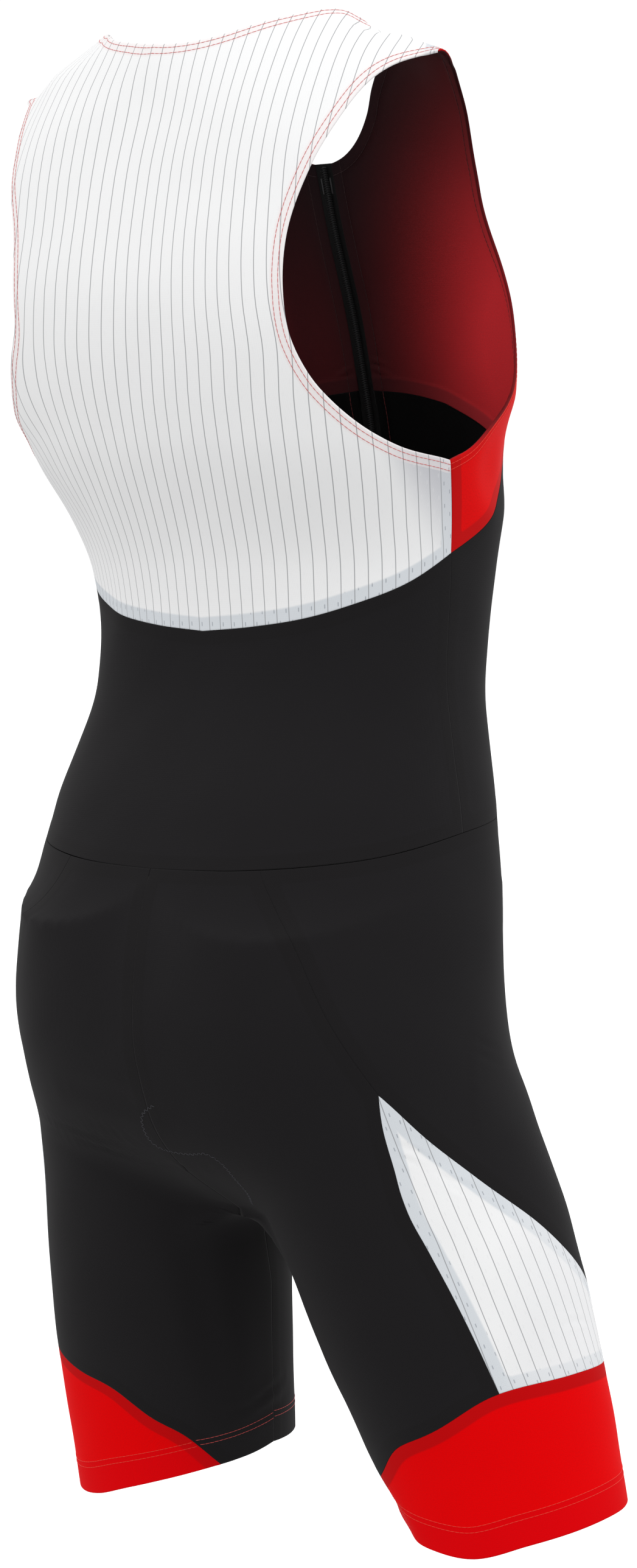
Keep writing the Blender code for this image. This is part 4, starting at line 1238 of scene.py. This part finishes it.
def centre_seam(front, count):
    """Down the middle from the waist to the crotch, behind or in front."""
    way_out = -1.0 if front else 1.0
    centre = np.array(CROTCH_CENTRE)
    top = level(WAIST, "z", 180.0 if front else 0.0)
    heights = np.linspace(top, centre[2], 8 * DRAWING, endpoint=False)
    angles = np.linspace(0, math.pi / 2, 12 * DRAWING)
    origins = [(0, centre[1], z) for z in heights] + [centre] * len(angles)
    ways = [(0, way_out, 0)] * len(heights) + [(0, way_out * math.cos(a), -math.sin(a)) for a in angles]
    points = reached(np.array(origins, float), np.array(ways, float))
    run = lengths(points)
    aims = aims_at(taken(points, np.linspace(0, run[-1], count * THREADS + 1), run))
    if front:
        aims[:, 0] = np.mod(aims[:, 0], 360)
    return marked(aims, 0)


def inseam(front, crotch, count):
    """Down the inside of the leg from the crotch to the hem."""
    foot_turn = INSEAM_TURN if front else INSEAM_TURN - 360
    share = np.linspace(0, 1, 4 * DRAWING)
    heights = crotch[1] + (hem_height(foot_turn) - crotch[1]) * share
    turns = crotch[0] + (foot_turn - crotch[0]) * np.minimum(1, 3 * share)
    return marked(shared_out(np.stack([turns, heights], -1), count), 0)


def lowered(cut):
    """The cut's points led down on the outside of the leg, for the wearer's left."""
    points = cut["points"]
    turn = np.mod(aims_at(points)[..., 0] + 90, 360) - 90
    share = eased(-points[..., 2], -LEFT_DROP_TOP, -LEFT_DROP_FULL)
    cuff = cuff_height(turn)
    low = np.clip((cuff - points[..., 2]) / np.maximum(cuff - hem_height(turn), 0.010), 0, 1)
    drop = level(HEM, "left_drop", turn) * low + level(HEM, "cuff_drop", turn) * (1 - low)
    return dict(cut, points=points - (drop * share)[..., None] * (0, 0, 1))


princess = marked(drawn(np.stack([PRINCESS["turn"], PRINCESS["z"]], -1), 6), 0)
wedge_rear, wedge_front = onto_cuff(seam(WEDGE_REAR, WEDGE_STEPS)), onto_cuff(seam(WEDGE_FRONT, WEDGE_STEPS))
waist_fly = waist_seam((side[-1, 0], 180), FRONT_STEPS)
rise_back, rise_front = centre_seam(False, RISE_STEPS), centre_seam(True, RISE_STEPS)
inseam_back = inseam(False, rise_back[-1], INSEAM_STEPS)
inseam_front = inseam(True, rise_front[-1], INSEAM_STEPS)
CUFF_ENDS = CUFF_RISE["turn"][0], CUFF_RISE["turn"][-1]
hem_back = round_leg(hem_height, (INSEAM_TURN - 360, CUFF_ENDS[0]), 2, folded=True)
hem_front = round_leg(hem_height, (CUFF_ENDS[1], INSEAM_TURN), 4, folded=True)
cuff_back = round_leg(cuff_height, (CUFF_ENDS[0], wedge_rear[-1, 0]), 6)
cuff_wedge = round_leg(cuff_height, (wedge_rear[-1, 0], wedge_front[-1, 0]), WEDGE_FOOT_STEPS)
cuff_front = round_leg(cuff_height, (wedge_front[-1, 0], CUFF_ENDS[1]), 9)

shorts_back_cut = cut_out(waist_seat, run_on(hem_back, cuff_back), run_on(rise_back, inseam_back),
                          run_on(princess, wedge_rear))
shorts_back_flat = upright(laid_flat(shorts_back_cut["coarse"]), 0)
shorts_back = cut_and_sew_pair("shorts_back_cloth", shorts_back_cut, shorts_back_flat, black_knit,
                               "black_cloth", "shorts_back", LEG_FOLD_WIDTH, hung=lowered(shorts_back_cut))
shorts_front_cut = cut_out(run_on(waist_side, waist_fly), run_on(cuff_front, hem_front),
                           run_on(princess, wedge_front), run_on(rise_front, inseam_front))
shorts_front_flat = upright(laid_flat(shorts_front_cut["coarse"]), 6)
shorts_front = cut_and_sew_pair("shorts_front_cloth", shorts_front_cut, shorts_front_flat, black_knit,
                                "black_cloth", "shorts_front", LEG_FOLD_WIDTH, hung=lowered(shorts_front_cut))

# ------------------------------------------------------------ thigh wedges
# A white pinstriped wedge is let in on the outside of each thigh; its point lies under the seat
# and its foot on the cuff.  The stripes run down the leg beside the rear seam.
WEDGE_PITCH, WEDGE_FIRST_STRIPE = 0.0091, 0.0088

wedge_point = np.repeat(wedge_rear[:1], WEDGE_FOOT_STEPS * THREADS + 1, axis=0)
wedge_cut = cut_out(wedge_point, cuff_wedge, wedge_rear, wedge_front)
wedge_flat = upright(laid_flat(wedge_cut["coarse"]), 0)
wedge_across = finer(wedge_flat, wedge_cut["down"], wedge_cut["across"])[..., 0]
wedge_stripes = (wedge_across - WEDGE_FIRST_STRIPE) / WEDGE_PITCH
white_wedge = pinstriped("white_pinstriped_wedge", WEDGE_PITCH, (0.178, 0.196), 0.0, 0.12)
cut_and_sew_pair("wedge_cloth", wedge_cut, wedge_flat, white_wedge, "white_cloth", "thigh_wedge",
                 hung=lowered(wedge_cut), stripes=wedge_stripes)

# ------------------------------------------------------------ cuffs
# A bright red band of firm knit at the outside of each leg opening, folded up deep inside, with
# a silicone gripper behind the fold that keeps the leg from riding up.
CUFF_ROWS = 4

cuff_top = run_on(cuff_back, cuff_wedge, cuff_front)
cuff_hem = round_leg(hem_height, CUFF_ENDS, len(cuff_top) // THREADS, folded=True)
cuff_cut = cut_out(cuff_top, cuff_hem, np.repeat(cuff_top[:1], CUFF_ROWS * THREADS + 1, axis=0),
                   np.repeat(cuff_top[-1:], CUFF_ROWS * THREADS + 1, axis=0))
cuff_flat = laid_flat(cuff_cut["coarse"])
cuff_knit = plain_knit("cuff_knit", (0.80, 0.0004, 0.0012), (0.85, 0.0006, 0.0018), (0.52, 0.0030, 0.0040),
                       gloss=0.03, fold_mm=22.5, rolled_edge=(0.68, 0.0006, 0.0050))
cuffs = cut_and_sew_pair("cuff_cloth", cuff_cut, cuff_flat, cuff_knit, "cuff_cloth", "cuff_red",
                         LEG_FOLD_WIDTH, hung=lowered(cuff_cut))

# ------------------------------------------------------------ coverstitching
# Twin rows of red stitches, 4 mm apart, hold every fold: close to the edge at neck, armholes and
# zip, and high above the hem at the legs.  Behind them a looper thread zigzags over the raw edge.
STITCH, STITCH_PITCH, THREAD, STITCH_SAG = 0.0034, 0.0032, 0.00038, 0.00010
STITCH_LIFT = 0.00010
NARROW_ROWS, LEG_ROWS, INNER_ROW = (0.0026, 0.0063), (0.0187, 0.0226), (0.0076,)     # from the edge
OVERRUN, OVERRUN_STEPS = 1.6, 12         # rows are first drawn too long, by so many distances
RAY_START, RAY_LENGTH = 0.012, 0.03      # a row is dropped onto the cloth from this far off


def strand(name, length, thick, sag):
    """Points and faces of one short strand of thread whose ends dip into the cloth."""
    bpy.ops.object.select_all(action="DESELECT")
    bpy.ops.mesh.primitive_uv_sphere_add(segments=6, ring_count=6, radius=0.5)
    one = bpy.context.object
    one.name = name
    bpy.ops.object.mode_set(mode="EDIT")
    bpy.ops.transform.rotate(value=math.pi / 2, orient_axis="Y", center_override=(0, 0, 0))
    bpy.ops.transform.resize(value=(length, thick, thick), center_override=(0, 0, 0))
    bpy.ops.object.mode_set(mode="OBJECT")
    points = np.array([v.co for v in one.data.vertices])
    faces = [list(face.vertices) for face in one.data.polygons]
    bpy.data.meshes.remove(one.data)
    points[:, 2] -= sag * (2 * points[:, 0] / length) ** 2
    return points, faces


def copied(name, shape, frames, look):
    """One piece of many copies of a shape, each at a place with its three directions."""
    points, faces = shape
    frames = np.asarray(frames)
    every = np.einsum("vk,nkx->nvx", points, frames[:, 1:]) + frames[:, :1]
    faces = [[corner + number * len(points) for corner in face]
             for number in range(len(frames)) for face in faces]
    mesh = bpy.data.meshes.new(name)
    mesh.from_pydata(every.reshape(-1, 3).tolist(), [], faces)
    mesh.polygons.foreach_set("use_smooth", np.ones(len(faces), bool))
    mesh.materials.append(look)
    made = bpy.data.objects.new(name, mesh)
    bpy.context.scene.collection.objects.link(made)
    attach(made, "suit")
    return made


def beside(cut, place, distance, inner=False):
    """The line on a finished piece at a distance from one stretch of its border: points, normals."""
    edge, normals = along(cut["points"], place), along(cut["normals"], place)
    steps = np.arange(1, OVERRUN_STEPS + 1)[:, None] * OVERRUN * distance / OVERRUN_STEPS
    edge = np.concatenate([edge[0] + steps[::-1] * unit(edge[0] - edge[2]), edge,
                           edge[-1] + steps * unit(edge[-1] - edge[-3])])
    normals = np.concatenate([normals[:1]] * OVERRUN_STEPS + [normals] + [normals[-1:]] * OVERRUN_STEPS)
    way = unit(np.cross(np.gradient(edge, axis=0), normals)) * (1, -1, -1, 1)[place[0]]
    tree = BVHTree.FromObject(cut["piece"], bpy.context.evaluated_depsgraph_get())
    facing = -1 if inner else 1
    found = []
    for start_at, normal in zip(settled(edge + way * distance), normals * facing):
        hit, slope, _, _ = tree.ray_cast(Vector(start_at + normal * RAY_START), Vector(-normal), RAY_LENGTH)
        if hit:
            found.append((*hit, *(slope if slope.dot(Vector(normal)) > 0 else -slope)))
    found = np.array(found)
    return found[:, :3], found[:, 3:]


def paced(points, pitch, begin=0.5):
    """Shares of places along a line at equal steps."""
    run = lengths(points)
    count = max(1, int(round(run[-1] / pitch)))
    return np.interp((np.arange(count) + begin) * run[-1] / count, run, np.arange(len(points)))


def frames_along(points, normals, pitch, rise):
    """A frame for each stitch of a row: place, ahead, aside, out."""
    at = paced(points, pitch)
    here, normal = taken(points, at), taken(normals, at)
    ahead = unit(taken(points, at + 0.3) - taken(points, at - 0.3))
    normal = unit(normal - (normal * ahead).sum(-1, keepdims=True) * ahead)
    return np.stack([here + normal * rise, ahead, np.cross(normal, ahead), normal], 1)


stitch = strand("stitch", STITCH, THREAD, STITCH_SAG)


def coverstitch(name, pieces, distances, look, inner=False):
    """Rows of stitches along every folded stretch of some pieces."""
    frames = [frames_along(*beside(piece, place, distance, inner), STITCH_PITCH, STITCH_LIFT)
              for piece in pieces for place in stretches(piece, True) for distance in distances]
    return copied(name, stitch, np.concatenate(frames), look)


def thread(name, dark, light, gloss=0.35):
    """Spun polyester thread in two close tones."""
    look = Look(name, 0.55, gloss=gloss)
    return look.finish(look.mixed(look.noise(look.spot(), 420.0), dark, light))


red_thread = thread("red_thread", (0.56, 0.060, 0.060), (0.66, 0.11, 0.105))
orange_thread = thread("orange_red_thread", (0.74, 0.045, 0.030), (0.82, 0.075, 0.050), 0.15)
# The inner rows' red threads are painted dark, as the shade inside the suit.
deep_shaded_thread = thread("deep_shaded_red_thread", (0.016, 0.0040, 0.0046), (0.030, 0.0060, 0.0070))
shaded_thread = thread("shaded_red_thread", (0.10, 0.012, 0.013), (0.15, 0.02, 0.02))
coverstitch("back_stitches", [back_cloth], NARROW_ROWS, red_thread)
coverstitch("front_stitches_right", front_cloth[:1], NARROW_ROWS, orange_thread)
coverstitch("front_stitches_left", front_cloth[1:], NARROW_ROWS, orange_thread)
coverstitch("zip_stitches", midriff_front, NARROW_ROWS, red_thread)
coverstitch("leg_stitches_right", [shorts_back[0], shorts_front[0]], LEG_ROWS, red_thread)
coverstitch("leg_stitches_left", [shorts_back[1], shorts_front[1]], LEG_ROWS, red_thread)
coverstitch("cuff_stitches_right", cuffs[:1], LEG_ROWS, orange_thread)
coverstitch("cuff_stitches_left", cuffs[1:], LEG_ROWS, orange_thread)
coverstitch("chest_inner_stitches", front_cloth, INNER_ROW, deep_shaded_thread, inner=True)
coverstitch("midriff_inner_stitches", midriff_front, INNER_ROW, shaded_thread, inner=True)

# ------------------------------------------------------------ pad stitches
# The seat pad inside shows only as one line of light grey zigzag stitches, which sews its edge
# down through the seat under the left buttock and over to the inside of the right thigh.
PAD_EDGE = ((-6, 88, -642), (3, 86, -647), (8, 83, -653), (11, 75, -665), (7, 69, -672), (-3, 67, -674),
            (-17, 67, -674), (-30, 68, -672), (-37, 62, -678), (-37, 50, -688), (-34, 33, -702),
            (-24, 15, -712))             # mm
ZIGZAG_STEP, ZIGZAG_WIDTH = 0.0019, 0.0021
ZIGZAG_LONG, ZIGZAG_THICK = 0.0029, 0.00034
PAD_RAY_START, PAD_RAY_LENGTH = 0.02, 0.05

pad_line = between(np.array(PAD_EDGE, float) / 1000, np.linspace(0, len(PAD_EDGE) - 1, 200))
pad_line = taken(pad_line, paced(pad_line, ZIGZAG_STEP))
seat = [BVHTree.FromObject(piece["piece"], bpy.context.evaluated_depsgraph_get()) for piece in shorts_back]
frames = []
for k, (here, on) in enumerate(zip(pad_line[:-1], pad_line[1:])):
    way = Vector(outward(here[None])[0])
    hits = [tree.ray_cast(Vector(here) + way * PAD_RAY_START, -way, PAD_RAY_LENGTH) for tree in seat]
    hits = sorted((hit for hit in hits if hit[0]), key=lambda hit: hit[3])
    if not hits:
        continue
    place, normal = hits[0][0], hits[0][1]
    ahead = Vector(on - here).normalized() * ZIGZAG_STEP + way.cross(Vector(on - here)).normalized() * (
        ZIGZAG_WIDTH if k % 2 else -ZIGZAG_WIDTH)
    ahead = (ahead - normal * ahead.dot(normal)).normalized()
    frames.append([place + normal * 0.0001, ahead, normal.cross(ahead), normal])
grey_thread = thread("grey_thread", (0.045, 0.045, 0.052), (0.10, 0.10, 0.11), 0.1)
zigzag = strand("zigzag", ZIGZAG_LONG, ZIGZAG_THICK, 0.0)
copied("pad_zigzag_stitches", zigzag, frames, grey_thread)

# ------------------------------------------------------------ zip tapes
# Two narrow black tapes, woven in fine ribs, each caught in the folded edge of a front; what shows
# of them is a strip beside the coil.  They run from the neck down into the waist seam.
ZIP_TOP, ZIP_FOOT_HEIGHT = -0.0641, -0.4665
TAPE_EDGES = (0.0125, 0.0095, 0.0065, 0.0050, 0.0036, 0.0022, 0.00012)     # out from the middle
TAPE_DEPTH, TAPE_THICK = 0.0007, 0.0006
TAPE_RIB, TAPE_PICK, TAPE_ROUND = 0.0008, 0.0006, 0.00015


def down_the_front(out, heights):
    """Places beside the middle of the front, on the wearer's right, and their normals."""
    starts = np.stack([0 * heights - out, level(TRUNK, "side", heights), heights], -1)
    points = reached(starts, np.broadcast_to((0.0, -1.0, 0.0), starts.shape))
    normals = outward(points)
    if out == 0:
        normals[:, 0] = 0
    return points + normals * creased(points)[:, None], normals


heights = np.linspace(ZIP_TOP, ZIP_FOOT_HEIGHT, 110)
look = Look("woven_tape", 0.6, gloss=0.12)
place = look.cut()
across, along, _ = look.parts(place)
ribs = look.sum("SINE", across * (2 * math.pi / TAPE_RIB))
picks = look.sum("SINE", along * (2 * math.pi / TAPE_PICK) + ribs * 1.2)
black = look.mixed(look.noise(place, 700.0), (0.0006, 0.0006, 0.0006), (0.0014, 0.0013, 0.0014))
tape_cloth = look.finish(black, [(ribs * 0.7 + picks * 0.5, 0.6, 0.00008)])

for name, edges in (("right", TAPE_EDGES), ("left", [-out for out in TAPE_EDGES[::-1]])):
    strips = [down_the_front(out, heights) for out in edges]
    points, normals = (np.stack(columns, 1) for columns in zip(*strips))
    border = outline(*points.shape[:2])
    ways = inwards(points, normals, border)
    outer, inner = points - normals * TAPE_DEPTH, points - normals * (TAPE_DEPTH + TAPE_THICK)
    edge = tuple(np.array(border).T)
    rim = (outer[edge] + inner[edge]) / 2 - ways * TAPE_ROUND
    made, faces = close_up("zip_tape_cloth_" + name, outer, inner, rim)
    spread = points[..., ::2]
    spread = np.concatenate([spread.reshape(-1, 2), spread.reshape(-1, 2), spread[edge]])
    spread = spread[faces.ravel()].ravel().astype(np.float32)
    made.data.uv_layers.new(name="cut").data.foreach_set("uv", spread)
    made.data.materials.append(tape_cloth)
    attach(made, "suit")
    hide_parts("zip_tape_" + name)

# ------------------------------------------------------------ zip coil
# A closed nylon coil: one row of bent turns from each tape, hooked into each other at the middle,
# and rows of black thread that sew it to the inner faces of the tapes.
COIL_PITCH, COIL_DEPTH = 0.00150, 0.00185
COIL_START, COIL_END = 0.002, 0.0065     # from the two ends of the zip
TURN_LONG, TURN_THICK, TURN_LEAN, TURN_OUT = 0.0038, 0.00095, 0.16, 0.0008
SEWING_LONG, SEWING_THICK, SEWING_LEAN, SEWING_SAG = 0.0019, 0.00030, 3.0, 0.0001
SEWING_ROWS, SEWING_DEPTH = (0.0015, 0.0021), 0.00042

middle_points, middle_normals = down_the_front(0.0, heights)
look = Look("black_nylon_coil", 0.38, gloss=0.32)
black = look.mixed(look.noise(look.spot(), 300.0), (0.0025, 0.0025, 0.0028), (0.005, 0.005, 0.0055))
nylon = look.finish(black)
run = lengths(middle_points)
at_turn = np.arange(COIL_START, run[-1] - COIL_END, COIL_PITCH)


def coil_frames(side, distance, lean, shift, depth):
    """Frames across the zip for every turn of the coil on one side of the middle."""
    at = np.interp(at_turn + shift, run, np.arange(len(run)))
    here, out = taken(middle_points, at), unit(taken(middle_normals, at))
    across = np.broadcast_to((-side, 0.0, 0.0), here.shape)
    ahead = unit(across + lean * np.cross(out, (-1.0, 0.0, 0.0)))
    return np.stack([here + across * distance - out * depth, ahead, np.cross(out, ahead), out], 1)


coil_turn = strand("coil_turn", TURN_LONG, TURN_THICK, 0.0)
coil = copied("zip_coil_turns", coil_turn,
              np.concatenate([coil_frames(1, TURN_OUT, TURN_LEAN, 0.0, COIL_DEPTH),
                              coil_frames(-1, TURN_OUT, TURN_LEAN, COIL_PITCH / 2, COIL_DEPTH)]),
              nylon)
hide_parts("zip_chain")
coil_thread = thread("black_coil_thread", (0.002, 0.002, 0.002), (0.006, 0.006, 0.006), 0.15)
over_turn = strand("over_turn", SEWING_LONG, SEWING_THICK, SEWING_SAG)
copied("zip_coil_threads", over_turn,
       np.concatenate([coil_frames(side, distance, SEWING_LEAN, shift, COIL_DEPTH + SEWING_DEPTH)
                       for side, shift in ((1, COIL_PITCH / 2), (-1, 0.0)) for distance in SEWING_ROWS]),
       coil_thread)

# ------------------------------------------------------------ zip slider
# A small cast slider painted black, closed at the top of the zip: a plate that narrows downwards,
# two flanges round the coil, and a bridge on top that holds the pull.
SLIDER_HEIGHT, SLIDER_LIFT = -0.0775, -0.0003
# Sizes of its blocks in mm, as (across, down, out), and how far each lies out from the coil or aside.
PLATE, PLATE_OUT, PLATE_TAPER, PLATE_ROUND = (8.2, 11.0, 1.3), 1.05, 0.87, 0.45
FLANGE, FLANGE_OUT, FLANGE_ASIDE = (1.2, 10.4, 1.7), -0.4, 3.4
POST, POST_OUT, POST_DOWN = (1.8, 1.4, 3.0), 2.8, 3.1
BAR, BAR_OUT, SLIDER_ROUND = (1.8, 7.6, 1.0), 4.1, 0.3
STOUT_ROUND = 0.4
look = Look("black_painted_metal", 0.34, gloss=0.5, metal=0.6)
place = look.spot()
zip_paint = look.finish(look.mixed(look.noise(place, 500.0), (0.020, 0.020, 0.021), (0.035, 0.035, 0.037)),
                        [(look.noise(place, 1800.0), 0.25, 0.00003)])


def block(centre, size, taper=1.0):
    """A box about a centre, in mm as (across, down, out), with its lower end drawn in by the taper."""
    bpy.ops.object.select_all(action="DESELECT")
    bpy.ops.mesh.primitive_cube_add(size=1, location=(0, 0, 0))
    made = bpy.context.object
    bpy.ops.object.mode_set(mode="EDIT")
    bpy.ops.transform.resize(value=[side / 1000 for side in size], center_override=(0, 0, 0))
    bpy.ops.mesh.select_all(action="DESELECT")
    bpy.ops.object.mode_set(mode="OBJECT")
    for vertex in made.data.vertices:
        vertex.select = vertex.co.y > 0
    bpy.ops.object.mode_set(mode="EDIT")
    bpy.ops.transform.resize(value=(taper, 1, 1), center_override=(0, 0, 0))
    bpy.ops.mesh.select_all(action="SELECT")
    bpy.ops.transform.translate(value=[way / 1000 for way in centre])
    bpy.ops.object.mode_set(mode="OBJECT")
    return made


def rounded(made, width, steps=3):
    """The piece with its edges rounded."""
    pick(made)
    bevel = made.modifiers.new("round", "BEVEL")
    bevel.width = width / 1000
    bevel.segments = steps
    bevel.limit_method = "ANGLE"
    bpy.ops.object.modifier_apply(modifier=bevel.name)
    bpy.ops.object.shade_smooth_by_angle(angle=math.radians(40))
    return made


def fitted(name, parts, height, lift, body, replaced, axle=None):
    """Parts joined to one piece and laid on the middle of the front at a height, or on an axle."""
    pick(*parts)
    if len(parts) > 1:
        bpy.ops.object.join()
    made = bpy.context.object
    made.name = name
    near = np.array([height + 0.004, height, height - 0.004])
    points, _ = down_the_front(0.0, near)
    down = Vector(points[2] - points[0]).normalized()
    across = Vector((-1, 0, 0))
    out = across.cross(down)
    place = Vector(axle or points[1]) + out * lift
    made.matrix_world = Matrix([(across[k], down[k], out[k], place[k]) for k in range(3)] + [(0, 0, 0, 1)])
    bpy.ops.object.transform_apply(location=True, rotation=True, scale=True)
    made.data.materials.append(zip_paint)
    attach(made, body)
    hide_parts(replaced)
    return made


slider_parts = [
    rounded(block((0, 0, PLATE_OUT), PLATE, PLATE_TAPER), PLATE_ROUND),
    *[rounded(block((side * FLANGE_ASIDE, 0, FLANGE_OUT), FLANGE), SLIDER_ROUND) for side in (-1, 1)],
    *[rounded(block((0, side * POST_DOWN, POST_OUT), POST), SLIDER_ROUND) for side in (-1, 1)],
    rounded(block((0, 0, BAR_OUT), BAR), STOUT_ROUND),
]
fitted("zip_slider_body", slider_parts, SLIDER_HEIGHT, SLIDER_LIFT, "suit", "zip_slider")

# ------------------------------------------------------------ zip pull
# A flat black pull tab with a rounded end and a sunk panel on each face, which hangs from an axle
# under the slider's bridge and swings about it.
PULL_AXLE = (0.0, -0.0938, -0.0767)
PULL, PULL_DOWN, PULL_ROUND = (5.6, 17.2, 1.2), 13.6, 0.14                # mm
PULL_CORNER, PANEL_EDGE, PANEL_BEVEL, PANEL_DEPTH = 2.2, 1.2, 0.2, 0.25
ARM, ARM_DOWN, ARM_ASIDE, ARM_ROUND = (1.3, 5.8, 1.2), 2.2, 2.15, 0.2
AXLE_RADIUS, AXLE_LONG = 0.6, 5.0
pull_plate = block((0, 0, 0), PULL)
bpy.ops.object.mode_set(mode="EDIT")
bpy.ops.mesh.select_mode(type="EDGE")
bpy.ops.mesh.select_all(action="DESELECT")
bpy.ops.object.mode_set(mode="OBJECT")
for edge in pull_plate.data.edges:
    first, second = (pull_plate.data.vertices[k].co for k in edge.vertices)
    edge.select = first.y > 0 and second.y > 0 and abs(first.z - second.z) > 0.0005
bpy.ops.object.mode_set(mode="EDIT")
bpy.ops.mesh.bevel(offset=PULL_CORNER / 1000, segments=6, affect="EDGES")
bpy.ops.mesh.select_mode(type="FACE")
bpy.ops.mesh.select_all(action="DESELECT")
bpy.ops.object.mode_set(mode="OBJECT")
for face in pull_plate.data.polygons:
    face.select = abs(face.normal.z) > 0.9
bpy.ops.object.mode_set(mode="EDIT")
bpy.ops.mesh.inset(thickness=PANEL_EDGE / 1000, depth=0.0)
bpy.ops.mesh.inset(thickness=PANEL_BEVEL / 1000, depth=-PANEL_DEPTH / 1000)
bpy.ops.mesh.select_all(action="SELECT")
bpy.ops.transform.translate(value=(0, PULL_DOWN / 1000, 0))
bpy.ops.object.mode_set(mode="OBJECT")
rounded(pull_plate, PULL_ROUND, 2)
pull_arms = [rounded(block((side * ARM_ASIDE, ARM_DOWN, 0), ARM), ARM_ROUND) for side in (-1, 1)]
bpy.ops.object.select_all(action="DESELECT")
bpy.ops.mesh.primitive_cylinder_add(vertices=20, radius=AXLE_RADIUS / 1000, depth=AXLE_LONG / 1000,
                                    rotation=(0, math.pi / 2, 0))
pull_axle = bpy.context.object
bpy.ops.object.transform_apply(location=False, rotation=True, scale=False)
fitted("zip_pull_tab", [pull_plate, *pull_arms, pull_axle], SLIDER_HEIGHT, 0.0, "pull", "zip_pull",
       axle=PULL_AXLE)

# ------------------------------------------------------------ zip stop
# A small clamp of black metal pressed on across both tapes, just above the waist seam, where it
# keeps the slider from running off the coil.
STOP_HEIGHT = ZIP_FOOT_HEIGHT + 0.003
CLAMP, CLAMP_PLACE = (7.2, 3.6, 2.0), (0, -2.2, -0.4)                     # mm

stop_clamp = rounded(block(CLAMP_PLACE, CLAMP), STOUT_ROUND)
fitted("zip_stop_clamp", [stop_clamp], STOP_HEIGHT, 0.0, "suit", "zip_stop_bottom")

# ------------------------------------------------------------ floor and light
# A wide pale floor where the wearer would stand, a soft white sky that is dimmer below, and two
# soft boxes, one above and one to the right.
FLOOR_HEIGHT = -1.43
SKY_BELOW, SKY_ABOVE = 0.46, 1.06

bpy.ops.object.select_all(action="DESELECT")
bpy.ops.mesh.primitive_plane_add(size=60, location=(0, 0, FLOOR_HEIGHT))
floor = bpy.context.object
floor.name = "studio_floor"
pale = Look("pale_floor", 0.9, gloss=0.0)
pale.shader.inputs["Base Color"].default_value = (0.75, 0.75, 0.75, 1)
pale.shader.inputs["Emission Color"].default_value = (1, 1, 1, 1)
pale.shader.inputs["Emission Strength"].default_value = 0.5
floor.data.materials.append(pale.material)
floor.visible_diffuse = floor.visible_glossy = False    # what lights the suit from below is the world


def softbox(name, place, aim, size, power, colour=(1.0, 1.0, 1.0)):
    """A square soft light at a place, facing a point."""
    bpy.ops.object.select_all(action="DESELECT")
    way = Vector(aim) - Vector(place)
    bpy.ops.object.light_add(type="AREA", location=place, rotation=way.to_track_quat("-Z", "Y").to_euler())
    lamp = bpy.context.object
    lamp.name = name
    lamp.data.shape = "SQUARE"
    lamp.data.size = size
    lamp.data.energy = power
    lamp.data.color = colour


softbox("light_above", (-0.9, 1.3, 2.2), (0, 0, -0.3), 2.4, 7.5)
softbox("light_right", (-2.6, -0.2, 0.6), (0, 0, -0.5), 1.8, 4, (0.92, 0.95, 1.0))

world = bpy.data.worlds.new("studio")
bpy.context.scene.world = world
world.use_nodes = True
sky = world.node_tree.nodes
towards = sky.new("ShaderNodeTexCoord")
height = sky.new("ShaderNodeSeparateXYZ")
shade = sky.new("ShaderNodeMapRange")
shade.interpolation_type = "SMOOTHSTEP"
for name, value in (("From Min", -0.85), ("From Max", -0.02), ("To Min", SKY_BELOW), ("To Max", SKY_ABOVE)):
    shade.inputs[name].default_value = value
world.node_tree.links.new(towards.outputs["Generated"], height.inputs[0])
world.node_tree.links.new(height.outputs["Z"], shade.inputs["Value"])
world.node_tree.links.new(shade.outputs["Result"], sky["Background"].inputs["Strength"])
sky["Background"].inputs["Color"].default_value = (1, 1, 1, 1)
bpy.context.scene.view_settings.view_transform = "Standard"
bpy.context.scene.view_settings.look = "None"
